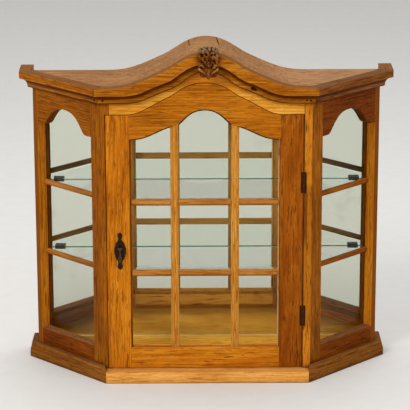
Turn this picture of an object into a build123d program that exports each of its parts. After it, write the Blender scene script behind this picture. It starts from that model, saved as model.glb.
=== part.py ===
from build123d import *
import math
import os

# Glazed display case with splayed sides, a serpentine bonnet cornice and one hinged door.
# Millimetres, Z up, X to the right, the door faces -Y. The origin is the middle of the base.

# ---- overall plan: flat front, 45 degree splayed sides, short square returns at the back
FRONT_HALF = 195.0        # half width of the front between the post arrises
SPLAY = 135.0             # how far each splayed side runs sideways and back
BODY_DEPTH = 185.0        # front plane to the back of the returns
CREST_OUT = 38.0          # how far the carving stands in front of the front plane
FRONT_Y = -(BODY_DEPTH - CREST_OUT) / 2.0
BACK_HALF = FRONT_HALF + SPLAY
BODY_TOP = 552.0          # top of the posts, underside of the roof board

# ---- stock thicknesses
FRAME_T = 20.0            # posts' inner depth and side rails
DOOR_T = 18.0
GLASS_T = 3.0
BEAD_T = 4.0
ROOF_T = 10.0
ROOF_DROP = 11.0          # the cornice stands this much above the roof board
MIRROR_T = 4.0
PANEL_T = 5.0

# ---- front posts and door opening
FACET = 14.4              # front facet of a post beside the door
OPEN_HALF = FRONT_HALF - FACET
POST_S = 29.3             # splayed facet of a front post
BACK_POST_S = 12.0        # splayed facet of a back post
LAP = 7.0                 # side glass laps behind the posts
SPLAY_LEN = SPLAY * math.sqrt(2.0)
STILE_S = SPLAY_LEN - BACK_POST_S

# ---- door: it laps the left post in a rebate and hangs inside the right post
DOOR_GAP = 1.2            # clearance over the door and beside it
DOOR_FOOT_GAP = 1.0
DOOR_HINGE_GAP = 1.0
DOOR_LAP = 7.0
DOOR_STOP_CLEAR = 0.6
DOOR_LEFT = -(OPEN_HALF + DOOR_LAP)
DOOR_RIGHT = OPEN_HALF - DOOR_HINGE_GAP
DOOR_CX = (DOOR_LEFT + DOOR_RIGHT) / 2.0
DOOR_HALF = (DOOR_RIGHT - DOOR_LEFT) / 2.0
FRIEZE_H = 34.0           # frieze rail over the door at its shoulders
DOOR_SHOULDER = BODY_TOP - FRIEZE_H
DOOR_RISE = 60.3
STILE_W = 43.2
DOOR_SIGHT = DOOR_HALF - STILE_W
DOOR_RAIL_H = 40.3
LIP = 3.5                 # inner lip of the stepped moulding round the glass
LIP_Y = 6.0
GLASS_Y = 12.0
REBATE = 6.0
GLASS_PLAY = 0.3
BEAD_IN = 0.5
DOOR_HEAD_H = 45.5        # depth of the door's top rail at its shoulders
ARCH_SHOULDER = DOOR_SHOULDER - DOOR_HEAD_H
ARCH_RISE = 56.3
BAR_U = 56.5              # upright bars either side of the door's middle
BAR_W = 15.0
BAR_FACE_Y = 2.0
BAR_ROUND = 3.6
CROSS_SET = 1.0
CROSS_H = 12.0
TENON = 6.0               # thickness of the side rails' and frieze rail's tenons
TENON_IN = 7.0            # face of a tenon behind the face of its rail
TENON_LONG = 6.0
DOOR_TENON_LONG = 12.0

# ---- base
PLINTH_SIDE_H = 28.0
PLINTH_SIDE_OUT = 16.5
PLINTH_LEDGE = 12.0
PLINTH_BREAK_Z = 12.0
PLINTH_FRONT_H = 21.5
PLINTH_FRONT_OUT = 26.0
DOOR_BOTTOM = PLINTH_FRONT_H + DOOR_FOOT_GAP
RAIL_TOP_Z = DOOR_BOTTOM + DOOR_RAIL_H
BASE_RAIL_BACK = 20.0
FLOOR_TOP = 26.0
FLOOR_T = 12.0

# ---- side frames
SIDE_RAIL_Z = 60.0
SIDE_HEAD_H = 80.5
SIDE_ARCH_SHOULDER = BODY_TOP - SIDE_HEAD_H
SIDE_ARCH_HALF = 63.0
SIDE_ARCH_RISE = 39.5
SIDE_BAR_H = 10.8
SIDE_BAR_FACE = 14.0
SIDE_BAR_FLAT = 2.0
SIDE_LEDGE = 9.0
SIDE_GLASS_Z = (SIDE_RAIL_Z - REBATE, SIDE_ARCH_SHOULDER + SIDE_ARCH_RISE + REBATE)
HEAD_CLEAR = 7.0          # beads and mirror stop this far below the roof

# ---- cornice
CORNICE_OUT = 24.5
FASCIA_H = 13.5
CORNICE_TOP = BODY_TOP + ROOF_T + ROOF_DROP
FASCIA_BOTTOM = CORNICE_TOP - FASCIA_H
CORNICE_RISE = 66.0
FASCIA_RISE = 60.0
BOW_HALF = FRONT_HALF - 3.0
COVE_H = 18.0
FILLET_OUT = 8.0
STEP_OUT = 9.5
STEP_H = 2.0
COVE_FOOT = 13.4          # foot of the hollow below the fascia
COVE_HEAD_OUT = 19.4
COVE_HEAD = 1.6
COVE_BOW = (12.4, 6.2)    # point that the hollow's arc passes through, out and down
FRONT_REACH = FRONT_HALF + 35.0
BACK_CUT = 3.0            # the mouldings are run this much too deep, then planed off at the carcass

# ---- hinges, on the viewer's right
HINGE_LOWER = 126.0       # middle of each hinge
HINGE_UPPER = 388.0
HINGE_Z = (HINGE_LOWER, HINGE_UPPER)
HINGE_HALF = 18.5
HINGE_X = OPEN_HALF - DOOR_HINGE_GAP / 2.0
HINGE_Y = -1.4
BARREL_R = 3.0
PIN_R = 1.25
RUN_FIT = 0.05            # radial running clearance on a pin
KNUCKLE_GAP = 0.3
LEAF_T = 1.2
LEAF_END_Y = 14.0
NOTCH_R = 5.5
SCREW_R = 1.3
SCREW_HEAD_R = 2.2
SCREW_LONG = 11.0
SCREW_DZ = 11.0
SCREW_Y = 9.0
NOTCH_CLEAR = 1.6
PIN_HEAD = 1.4

# ---- handle on the left stile
HANDLE_X = DOOR_LEFT + 24.3
HANDLE_Z = 256.0
EYE_Z = HANDLE_Z + 6.0
PLATE_T = 1.6
PLATE_HALF_W = 11.2
PLATE_HALF_H = 36.6
DROP_LONG = 28.0
EAR_IN = 2.2
EAR_OUT = 3.8
EAR_R = 2.4
DROP_R = 4.4
DROP_PIN_R = 0.9
DROP_Y = -(PLATE_T + DROP_R + 0.4)

# ---- shelves
SHELF_T = 4.0
SHELF_LOWER = 211.0       # top of each shelf
SHELF_UPPER = 348.0
SHELF_TOP = (SHELF_LOWER, SHELF_UPPER)
CROSS_Z = (SHELF_LOWER - 1.1, SHELF_UPPER + 0.5)
SIDE_BAR_Z = (SHELF_LOWER + 2.5, SHELF_UPPER + 5.0)
SHELF_FRONT_Y = 38.0
SHELF_BACK_GAP = 1.5
SHELF_SIDE_GAP = 4.0
SHELF_O = -30.0           # the shelf's slanting edge, measured in from the side's face
CLIP_W = 20.0
CLIP_D = 8.0
CLIP_IN = 32.0
CLIP_UNDER = 2.0
CLIP_OVER = 3.6
PEG_R = 2.0
PEG_LONG = 10.0
PEG_OUT = 4.0

# ---- catch
CATCH_H = 32.0
CATCH_W = 12.5
CATCH_DROP = 56.0         # top of the catch below the door's shoulder
CATCH_GAP = 0.4
CATCH_PLATE_T = 0.8

# ---- carving, drawn on a grid
CREST_UNIT = 1.0
CREST_DROP = 45.5         # its foot below the crown of the cornice
CREST_FOOT = CORNICE_TOP + CORNICE_RISE - CREST_DROP
CREST_X = 3.0
CREST_CAP_BACK = 12.0     # where the part that laps over the cornice ends

C45 = math.sqrt(0.5)
PARTS = {}


def keep(name, shape):
    PARTS[name] = shape


def at(s, o):
    """Plan point on the right-hand splay: s along it from the front arris, o outward."""
    return (FRONT_HALF + (s + o) * C45, (s - o) * C45)


def mirrored(shape):
    return mirror(shape, about=Plane.YZ)


def pair(name, shape):
    keep(name + "_right", shape)
    keep(name + "_left", mirrored(shape))


def prism(points, z0, z1):
    face = make_face(Polyline(*points, close=True))
    return extrude(Pos(0, 0, z0) * face, amount=z1 - z0, dir=(0, 0, 1))


def box(x0, x1, y0, y1, z0, z1):
    return Pos((x0 + x1) / 2, (y0 + y1) / 2, (z0 + z1) / 2) * Box(x1 - x0, y1 - y0, z1 - z0)


def slab(face, y0, y1):
    """Extrude an elevation face, drawn in X and Z, from y0 back to y1."""
    plane = Plane(origin=(0, y0, 0), x_dir=(1, 0, 0), z_dir=(0, -1, 0))
    return extrude(plane * face, amount=y1 - y0, dir=(0, 1, 0))


def splay_slab(face, o0, o1):
    """Extrude a face drawn in s and Z on the right splay, from outward o0 in to o1."""
    ox, oy = at(0, o0)
    plane = Plane(origin=(ox, oy, 0), x_dir=(C45, C45, 0), z_dir=(C45, -C45, 0))
    return extrude(plane * face, amount=o0 - o1, dir=(-C45, C45, 0))


def splay_box(s0, s1, o0, o1, z0, z1):
    return splay_slab(make_face(Polyline((s0, z0), (s1, z0), (s1, z1), (s0, z1), close=True)), o0, o1)


def rod_x(x0, x1, y, z, r):
    return Pos((x0 + x1) / 2, y, z) * Rot(0, 90, 0) * Cylinder(r, x1 - x0)


def rod_z(x, y, z0, z1, r):
    return Pos(x, y, (z0 + z1) / 2) * Cylinder(r, z1 - z0)


# ---- serpentine curves, one half each: share of the half width, share of the rise
CORNICE_TOP_BOW = [(0, 1), (0.0833, 0.9758), (0.1615, 0.9061), (0.2396, 0.7939), (0.3125, 0.6606),
                   (0.3906, 0.5212), (0.4792, 0.397), (0.5729, 0.2727), (0.6667, 0.1636), (0.7604, 0.0758),
                   (0.8438, 0.0273), (0.9271, 0.006), (1, 0)]
FASCIA_BOW = [(0, 1), (0.0729, 0.9783), (0.1458, 0.9067), (0.2083, 0.8017), (0.2656, 0.6717),
              (0.3177, 0.5483), (0.3698, 0.455), (0.4323, 0.3783), (0.5052, 0.2817), (0.5885, 0.1583),
              (0.6719, 0.0617), (0.7552, 0.0117), (0.8438, 0), (1.0417, 0)]
DOOR_BOW = [(0, 1), (0.0654, 0.9867), (0.1307, 0.9453), (0.1961, 0.869), (0.256, 0.7629), (0.3159, 0.6335),
            (0.3813, 0.524), (0.4466, 0.4279), (0.512, 0.3184), (0.5719, 0.2156), (0.6318, 0.1194),
            (0.6917, 0.0431), (0.7516, 0.005), (0.817, 0)]
ARCH_MID_BOW = [(0, 1), (0.0833, 0.9787), (0.1674, 0.9005), (0.2514, 0.7478), (0.3205, 0.5737),
                (0.3597, 0.4849)]
ARCH_OUT_BOW = [(0.3597, 0.4849), (0.4416, 0.4423), (0.5271, 0.3712), (0.6125, 0.2789), (0.698, 0.1758),
                (0.7835, 0.087), (0.8689, 0.0266), (0.9402, 0.0036), (1, 0)]
SIDE_ARCH_BOW = [(0, 1), (0.2222, 0.9646), (0.4286, 0.8329), (0.6032, 0.5949), (0.7302, 0.3418),
                 (0.8333, 0.1241), (0.9048, 0.0304), (0.9683, 0.0025), (1, 0)]


def drawn(bow, half, foot, rise):
    """A half curve at its real size: half wide, standing on foot and rising by rise."""
    return [(x * half, foot + z * rise) for x, z in bow]


CORNICE_TOP_PTS = drawn(CORNICE_TOP_BOW, BOW_HALF, CORNICE_TOP, CORNICE_RISE)
FASCIA_PTS = drawn(FASCIA_BOW, BOW_HALF, FASCIA_BOTTOM, FASCIA_RISE)
DOOR_TOP_PTS = drawn(DOOR_BOW, DOOR_HALF, DOOR_SHOULDER, DOOR_RISE)
ARCH_MID_PTS = drawn(ARCH_MID_BOW, DOOR_SIGHT, ARCH_SHOULDER, ARCH_RISE)
ARCH_OUT_PTS = drawn(ARCH_OUT_BOW, DOOR_SIGHT, ARCH_SHOULDER, ARCH_RISE)
SIDE_ARCH_PTS = drawn(SIDE_ARCH_BOW, SIDE_ARCH_HALF, SIDE_ARCH_SHOULDER, SIDE_ARCH_RISE)


def both(points):
    """The full left-to-right list of a curve given on one half."""
    return [(-x, z) for x, z in reversed(points) if x > 0] + list(points)


def lift(points, dz):
    return [(x, z + dz) for x, z in points]


def bonnet_edges(points, reach):
    """A half curve mirrored about the middle and run out level to plus and minus reach."""
    x, z = points[-1]
    return [Line((-reach, z), (-x, z)), Spline(*both(points)), Line((x, z), (reach, z))]


def band(upper, lower, reach):
    """Face between two serpentine half curves, from minus reach to reach."""
    z1, z0 = upper[-1][1], lower[-1][1]
    sides = [Line((reach, z1), (reach, z0)), Line((-reach, z1), (-reach, z0))]
    return make_face(bonnet_edges(upper, reach) + bonnet_edges(lower, reach) + sides)


# ---- moulding sections, drawn as (outward, height); each length is run over, then cut at its mitres
RUN_OVER = 60.0


def section_face(points):
    return make_face(Polyline(*points, close=True))


def run_splay(face):
    ox, oy = at(-RUN_OVER, 0)
    plane = Plane(origin=(ox, oy, 0), x_dir=(C45, -C45, 0), z_dir=(-C45, -C45, 0))
    return extrude(plane * face, amount=SPLAY_LEN + 2 * RUN_OVER, dir=(C45, C45, 0))


def run_return(face):
    plane = Plane(origin=(BACK_HALF, SPLAY - RUN_OVER, 0), x_dir=(1, 0, 0), z_dir=(0, -1, 0))
    return extrude(plane * face, amount=BODY_DEPTH - SPLAY + RUN_OVER, dir=(0, 1, 0))


def run_front(face):
    plane = Plane(origin=(-BACK_HALF, 0, 0), x_dir=(0, -1, 0), z_dir=(-1, 0, 0))
    return extrude(plane * face, amount=2 * BACK_HALF, dir=(1, 0, 0))


MITRE = math.tan(math.radians(22.5))
OUT = 40.0


def front_mitre(out_f, out_s):
    """Where the front and splay faces meet when they stand out by out_f and out_s."""
    return (FRONT_HALF + out_s / C45 - out_f, -out_f)


def mitre_prisms(out_f, out_s):
    """Plan regions of the front, splay and return lengths of a mitred moulding."""
    k = OUT / max(out_f, out_s)
    fx, fy = front_mitre(out_f * k, out_s * k)
    bx, by = BACK_HALF + out_s * k, SPLAY - out_s * k * MITRE
    z0, z1 = -1.0, CORNICE_TOP + CORNICE_RISE + 1.0
    front = prism([(-FRONT_HALF, 0), (FRONT_HALF, 0), (fx, fy), (-fx, fy)], z0, z1)
    splay = prism([(FRONT_HALF, 0), (BACK_HALF, SPLAY), (bx, by), (fx, fy)], z0, z1)
    back = prism([(BACK_HALF, SPLAY), (BACK_HALF, BODY_DEPTH), (bx, BODY_DEPTH), (bx, by)], z0, z1)
    return front, splay, back


# ---- base: mitred plinth, two rails and the floor board
side_plinth = section_face([(0, 0), (PLINTH_SIDE_OUT, 0), (PLINTH_SIDE_OUT, PLINTH_BREAK_Z),
                            (PLINTH_LEDGE + 1.2, PLINTH_SIDE_H - 4.5), (PLINTH_LEDGE, PLINTH_SIDE_H - 1.2),
                            (PLINTH_LEDGE - 1.2, PLINTH_SIDE_H), (0, PLINTH_SIDE_H)])
front_plinth = section_face([(0, 0), (PLINTH_FRONT_OUT, 0), (PLINTH_FRONT_OUT, PLINTH_BREAK_Z - 0.5),
                             (PLINTH_FRONT_OUT - 1.6, PLINTH_FRONT_H - 2), (PLINTH_FRONT_OUT - 3.4, PLINTH_FRONT_H),
                             (0, PLINTH_FRONT_H)])
p_front, p_splay, p_return = mitre_prisms(PLINTH_FRONT_OUT, PLINTH_SIDE_OUT)
keep("plinth_front", run_front(front_plinth) & p_front)
pair("plinth", run_splay(side_plinth) & p_splay)
pair("plinth_return", run_return(side_plinth) & p_return)

# ---- posts
INNER_O = -(FRAME_T + GLASS_T + BEAD_T)
front_post_pts = [(FRONT_HALF, 0), at(POST_S, 0), at(POST_S, -FRAME_T), at(POST_S - LAP, -FRAME_T),
                  at(POST_S - LAP, INNER_O), (OPEN_HALF, at(POST_S - LAP, INNER_O)[1]), (OPEN_HALF, 0)]
FRONT_POST_BACK = at(POST_S - LAP, INNER_O)[1]
inner_x, inner_y = at(STILE_S + LAP, INNER_O)
back_post_pts = [(BACK_HALF, SPLAY), (BACK_HALF, BODY_DEPTH), (inner_x, BODY_DEPTH), (inner_x, inner_y),
                 at(STILE_S + LAP, -FRAME_T), at(STILE_S, -FRAME_T), at(STILE_S, 0)]
front_post = prism(front_post_pts, 0, BODY_TOP)
back_post = prism(back_post_pts, 0, BODY_TOP)
rebate_cut = box(DOOR_LEFT - DOOR_GAP, -OPEN_HALF + 1, -1, DOOR_T + DOOR_STOP_CLEAR,
                 PLINTH_FRONT_H, DOOR_SHOULDER + DOOR_GAP)
post_left = mirrored(front_post) - rebate_cut

# ---- hinges: a post leaf with two knuckles, a door leaf with one, and a fixed pin
LEAF_Y = HINGE_Y + BARREL_R + KNUCKLE_GAP
MID = HINGE_HALF / 3.0


def knuckle(z, z0, z1):
    return rod_z(HINGE_X, HINGE_Y, z + z0, z + z1, BARREL_R)


def screw_pair(z, face_x, sign):
    """Two countersunk screws that run from the leaf's face into the wood."""
    out = []
    for dz in (-SCREW_DZ, SCREW_DZ):
        cone = Pos(face_x + sign * LEAF_T / 2, SCREW_Y, z + dz) * Rot(0, 90, 0)
        wide, slim = (SCREW_R, SCREW_HEAD_R) if sign < 0 else (SCREW_HEAD_R, SCREW_R)
        head = cone * Cone(wide, slim, LEAF_T)
        x0, x1 = sorted((face_x + sign * (LEAF_T - 0.01), face_x + sign * SCREW_LONG))
        out.append(head + rod_x(x0, x1, SCREW_Y, z + dz, SCREW_R))
    return out


post_leaves, door_leaves, pins, post_screws, door_screws, notches = [], [], [], [], [], []
for hz in HINGE_Z:
    plate = box(OPEN_HALF, OPEN_HALF + LEAF_T, LEAF_Y, LEAF_END_Y, hz - HINGE_HALF, hz + HINGE_HALF)
    leaf = plate
    for z0, z1 in ((-HINGE_HALF, -MID - KNUCKLE_GAP), (MID + KNUCKLE_GAP, HINGE_HALF)):
        leaf += knuckle(hz, z0, z1) + box(OPEN_HALF, OPEN_HALF + LEAF_T, HINGE_Y, LEAF_Y + 0.5, hz + z0, hz + z1)
    leaf -= rod_z(HINGE_X, HINGE_Y, hz - 2 * HINGE_HALF, hz + 2 * HINGE_HALF, PIN_R)
    screws = screw_pair(hz, OPEN_HALF, 1)
    for s in screws:
        leaf -= s
    post_leaves.append(leaf)
    post_screws += screws
    plate = box(DOOR_RIGHT - LEAF_T, DOOR_RIGHT, LEAF_Y, LEAF_END_Y, hz - HINGE_HALF, hz + HINGE_HALF)
    leaf = plate + knuckle(hz, -MID, MID)
    leaf += box(DOOR_RIGHT - LEAF_T, DOOR_RIGHT, HINGE_Y, LEAF_Y + 0.5, hz - MID, hz + MID)
    leaf -= rod_z(HINGE_X, HINGE_Y, hz - 2 * HINGE_HALF, hz + 2 * HINGE_HALF, PIN_R + RUN_FIT)
    screws = screw_pair(hz, DOOR_RIGHT, -1)
    for s in screws:
        leaf -= s
    door_leaves.append(leaf)
    door_screws += screws
    pin = rod_z(HINGE_X, HINGE_Y, hz - HINGE_HALF, hz + HINGE_HALF + PIN_HEAD, PIN_R)
    pins.append(pin + rod_z(HINGE_X, HINGE_Y, hz + HINGE_HALF, hz + HINGE_HALF + PIN_HEAD, BARREL_R - 0.3))
    notches.append(rod_z(HINGE_X, HINGE_Y, hz - HINGE_HALF - NOTCH_CLEAR, hz + HINGE_HALF + NOTCH_CLEAR, NOTCH_R))

post_right = front_post
for i, hz in enumerate(HINGE_Z):
    post_right -= notches[i]
    post_right -= box(OPEN_HALF, OPEN_HALF + LEAF_T, 0, LEAF_END_Y, hz - HINGE_HALF, hz + HINGE_HALF)
for s in post_screws:
    post_right -= s

# ---- side rails, with a stub tenon at each end let into the posts
rail_bottom = splay_box(POST_S, STILE_S, 0, -FRAME_T, 0, SIDE_RAIL_Z)


def side_tenons(z0, z1):
    """Stub tenons at the front and the back end of a side rail."""
    front = splay_box(POST_S - TENON_LONG, POST_S, -TENON_IN, -TENON_IN - TENON, z0, z1)
    back = splay_box(STILE_S, STILE_S + TENON_LONG, -TENON_IN, -TENON_IN - TENON, z0, z1)
    return [front, back]


tenons_low = side_tenons(PLINTH_SIDE_H + 4, SIDE_RAIL_Z - REBATE)
tenons_top = side_tenons(SIDE_ARCH_SHOULDER + 18.5, BODY_TOP - 17)
MID_S = (POST_S + STILE_S) / 2.0
arch = Spline(*[(MID_S + x, z) for x, z in both(SIDE_ARCH_PTS)])
a0, a1 = arch @ 0, arch @ 1
rail_top_face = make_face([arch, Line(a1, (STILE_S, SIDE_ARCH_SHOULDER)),
                           Line((STILE_S, SIDE_ARCH_SHOULDER), (STILE_S, BODY_TOP)),
                           Line((STILE_S, BODY_TOP), (POST_S, BODY_TOP)),
                           Line((POST_S, BODY_TOP), (POST_S, SIDE_ARCH_SHOULDER)),
                           Line((POST_S, SIDE_ARCH_SHOULDER), a0)])
rail_top = splay_slab(rail_top_face, 0, -FRAME_T)
for tenon in tenons_low:
    rail_bottom += tenon
for tenon in tenons_top:
    rail_top += tenon
front_tenons = [tenons_low[0], tenons_top[0]]
back_tenons = [tenons_low[1], tenons_top[1]]
for tenon in front_tenons:
    post_right -= tenon
    post_left -= mirrored(tenon)
for tenon in back_tenons:
    back_post -= tenon
pair("side_rail_bottom", rail_bottom)
pair("side_rail_top", rail_top)
keep("post_front_right", post_right)
keep("post_front_left", post_left)
pair("post_back", back_post)

# ---- side glazing: one pane, two half-round bars before it and beads behind it
pair("side_glass", splay_box(POST_S - LAP + 0.4, STILE_S + LAP - 0.4, -FRAME_T, -FRAME_T - GLASS_T, *SIDE_GLASS_Z))


def side_bar(z):
    """Half-round bar lying on the glass, drawn as a section in outward and height."""
    back, face, h = -FRAME_T, -SIDE_BAR_FACE, SIDE_BAR_H / 2
    flat = back + SIDE_BAR_FLAT
    edges = [Line((back, z - h), (flat, z - h)), ThreePointArc((flat, z - h), (face, z), (flat, z + h)),
             Line((flat, z + h), (back, z + h)), Line((back, z + h), (back, z - h))]
    ox, oy = at(POST_S, 0)
    plane = Plane(origin=(ox, oy, 0), x_dir=(C45, -C45, 0), z_dir=(-C45, -C45, 0))
    return extrude(plane * make_face(edges), amount=STILE_S - POST_S, dir=(C45, C45, 0))


pair("side_bar_lower", side_bar(SIDE_BAR_Z[0]))
pair("side_bar_upper", side_bar(SIDE_BAR_Z[1]))
bead_o = -(FRAME_T + GLASS_T)
glass_foot, bead_top = SIDE_GLASS_Z[0], BODY_TOP - HEAD_CLEAR
side_beads = [splay_box(POST_S - LAP, POST_S - 1, bead_o, INNER_O, glass_foot, bead_top),
              splay_box(STILE_S + 1, STILE_S + LAP, bead_o, INNER_O, glass_foot, bead_top),
              splay_box(POST_S, STILE_S, -FRAME_T, -FRAME_T - BEAD_T, glass_foot - SIDE_LEDGE, glass_foot)]
side_beads += [mirrored(b) for b in side_beads]
keep("side_beads", Compound(side_beads))

# ---- base rails and floor board
keep("base_rail_front", box(-OPEN_HALF, OPEN_HALF, 0, DOOR_T + DOOR_STOP_CLEAR, 0, PLINTH_FRONT_H))
keep("base_rail_back", box(-inner_x, inner_x, BODY_DEPTH - BASE_RAIL_BACK, BODY_DEPTH, 0, FLOOR_TOP - FLOOR_T))
r_floor = at(0, -FRAME_T)
floor_y0 = DOOR_T + DOOR_STOP_CLEAR
floor_x0 = r_floor[0] - r_floor[1] + floor_y0
floor_y1 = inner_y
floor_x1 = r_floor[0] - r_floor[1] + floor_y1
floor_back = BODY_DEPTH - PANEL_T
floor_pts = [(-floor_x0, floor_y0), (floor_x0, floor_y0), (floor_x1, floor_y1), (inner_x, floor_y1),
             (inner_x, floor_back), (-inner_x, floor_back), (-inner_x, floor_y1), (-floor_x1, floor_y1)]
floor = prism(floor_pts, FLOOR_TOP - FLOOR_T, FLOOR_TOP)
for solid in (post_right, post_left, back_post, mirrored(back_post)):
    floor -= solid
keep("base_board", floor)

# ---- frieze rail, with the door's serpentine head below and the roof above
roof_under = lift(CORNICE_TOP_PTS, -ROOF_DROP - ROOF_T)
door_head = [(DOOR_CX + x, z) for x, z in both(DOOR_TOP_PTS)]
head_curve = Spline(*lift(door_head, DOOR_GAP))
h0, h1 = head_curve @ 0, head_curve @ 1
low = DOOR_SHOULDER + DOOR_GAP
frieze_foot = ARCH_SHOULDER - 20
below_roof = band(roof_under, [(0, frieze_foot), (roof_under[-1][0], frieze_foot)], BACK_HALF)
head_line = [Line((OPEN_HALF, low), h1), head_curve, Line(h0, (-OPEN_HALF, low))]
over = CORNICE_TOP + CORNICE_RISE
frieze_face = make_face(head_line + [Line((-OPEN_HALF, low), (-OPEN_HALF, over)),
                                     Line((OPEN_HALF, low), (OPEN_HALF, over)),
                                     Line((-OPEN_HALF, over), (OPEN_HALF, over))])
frieze = slab(frieze_face, 0, FRAME_T) & slab(below_roof, 0, FRAME_T)
tenon_foot, tenon_head = DOOR_SHOULDER + 6, BODY_TOP - 6
frieze_tenon = [box(x0, x0 + TENON_LONG, TENON_IN, TENON_IN + TENON, tenon_foot, tenon_head)
                for x0 in (OPEN_HALF, -OPEN_HALF - TENON_LONG)]
for tenon in frieze_tenon:
    frieze += tenon
keep("frieze_rail", frieze)
PARTS["post_front_right"] -= frieze_tenon[0]
PARTS["post_front_left"] -= frieze_tenon[1]

# ---- cornice: flat fascia over a cove, serpentine in front and straight round the sides
def cove_face(z, top):
    """Cove section hung from height z, run up by top into the fascia and back behind the front plane."""
    foot, lip = z - COVE_H, COVE_HEAD_OUT + 2 * COVE_HEAD
    ring = [(STEP_OUT, z - COVE_FOOT), (STEP_OUT, foot + STEP_H), (FILLET_OUT, foot), (-BACK_CUT, foot),
            (-BACK_CUT, z + top), (lip, z + top), (lip, z + COVE_HEAD / 2), (COVE_HEAD_OUT, z - COVE_HEAD)]
    hollow = ThreePointArc(ring[-1], (COVE_BOW[0], z - COVE_BOW[1]), ring[0])
    edges = [Line(a, b) for a, b in zip(ring, ring[1:])] + [hollow]
    return make_face(edges)


fascia_face = section_face([(-BACK_CUT, FASCIA_BOTTOM), (CORNICE_OUT, FASCIA_BOTTOM),
                            (CORNICE_OUT, CORNICE_TOP), (-BACK_CUT, CORNICE_TOP)])
c_front, c_splay, c_return = mitre_prisms(CORNICE_OUT, CORNICE_OUT)
straight = fascia_face + cove_face(FASCIA_BOTTOM, 2.0)
pair("cornice", run_splay(straight) & c_splay)
pair("cornice_return", run_return(straight) & c_return)
fascia = slab(band(CORNICE_TOP_PTS, FASCIA_PTS, FRONT_REACH), -CORNICE_OUT, BACK_CUT)
bend = Spline(*both(FASCIA_PTS + [(FRONT_REACH, FASCIA_BOTTOM)]))
path = Plane(origin=(0, 0, 0), x_dir=(1, 0, 0), z_dir=(0, -1, 0)) * bend
start = Plane(origin=path @ 0, x_dir=(0, -1, 0), z_dir=(-1, 0, 0))
cove = sweep(start * cove_face(0, 2.0), path=path)
keep("cornice_front", (fascia + cove) & c_front)

# ---- roof board bent to the cornice
roof_top = lift(CORNICE_TOP_PTS, -ROOF_DROP)
plan = prism([(-FRONT_HALF, 0), (FRONT_HALF, 0), (BACK_HALF, SPLAY), (BACK_HALF, BODY_DEPTH),
              (-BACK_HALF, BODY_DEPTH), (-BACK_HALF, SPLAY)], 0, over)
roof = slab(band(roof_top, roof_under, BACK_HALF + 5), 0, BODY_DEPTH) & plan
keep("roof_board", roof)

# ---- back panel up to the roof, and the mirror on it
panel_foot = FLOOR_TOP - FLOOR_T
panel_face = band(roof_under, [(0, panel_foot), (roof_under[-1][0], panel_foot)], inner_x)
PANEL_Y = BODY_DEPTH - PANEL_T
keep("back_panel", slab(panel_face, PANEL_Y, BODY_DEPTH))
MIRROR_Y = PANEL_Y - MIRROR_T
keep("mirror", box(-inner_x + 0.5, inner_x - 0.5, MIRROR_Y, PANEL_Y, FLOOR_TOP,
                   BODY_TOP - HEAD_CLEAR - 1))

# ---- glass shelves on rear clips and front pegs
CLIP_X = inner_x - CLIP_IN
clips, pegs = [], []
shelf_back = MIRROR_Y - SHELF_BACK_GAP
slope = at(0, SHELF_O)
for i, top in enumerate(SHELF_TOP):
    xf = slope[0] - slope[1] + SHELF_FRONT_Y
    xb = inner_x - SHELF_SIDE_GAP
    yb = xb - slope[0] + slope[1]
    pts = [(-xf, SHELF_FRONT_Y), (xf, SHELF_FRONT_Y), (xb, yb), (xb, shelf_back), (-xb, shelf_back), (-xb, yb)]
    keep(("shelf_lower", "shelf_upper")[i], prism(pts, top - SHELF_T, top))
    for side in (-1, 1):
        x0, x1 = sorted((side * CLIP_X, side * (CLIP_X + CLIP_W)))
        body = box(x0, x1, MIRROR_Y - CLIP_D, MIRROR_Y, top - SHELF_T - CLIP_UNDER, top + CLIP_OVER)
        clips.append(body - box(x0 - 1, x1 + 1, MIRROR_Y - CLIP_D - 1, shelf_back, top - SHELF_T, top))
        peg_at = Pos(side * (OPEN_HALF + PEG_OUT), FRONT_POST_BACK + PEG_LONG / 2, top - SHELF_T - PEG_R)
        pegs.append(peg_at * Rot(90, 0, 0) * Cylinder(PEG_R, PEG_LONG))
keep("shelf_clips", Compound(clips))
keep("shelf_pegs", Compound(pegs))

# ---- carved crest: a leafy block over a chevron and a pointed drop
CREST_BACK = -CORNICE_OUT
U = CREST_UNIT


def carved(points, y0, y1, shrink):
    """Raised carving: the outline at y0 drawn in towards its middle by shrink at y1."""
    mx = sum(x for x, z in points) / len(points)
    mz = sum(z for x, z in points) / len(points)
    inner = [(mx + (x - mx) * shrink, mz + (z - mz) * shrink) for x, z in points]
    faces = []
    for y, ring in ((y0, points), (y1, inner)):
        plane = Plane(origin=(0, y, 0), x_dir=(1, 0, 0), z_dir=(0, -1, 0))
        face = make_face(Polyline(*[(CREST_X + x * U, CREST_FOOT + z * U) for x, z in ring], close=True))
        faces.append(plane * face)
    return loft(faces, ruled=True)


def leaf_outline(x, z, length, width, turn):
    """A leaf that springs from x, z and runs length at turn degrees."""
    out = []
    for t, w in ((0, 0.18), (0.25, 0.82), (0.45, 1.0), (0.7, 0.72), (1.0, 0.0)):
        out.append((t * length, w * width / 2))
    out += [(a, -b) for a, b in reversed(out[:-1])]
    c, s = math.cos(math.radians(turn)), math.sin(math.radians(turn))
    return [(x + a * c - b * s, z + a * s + b * c) for a, b in out]


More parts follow.
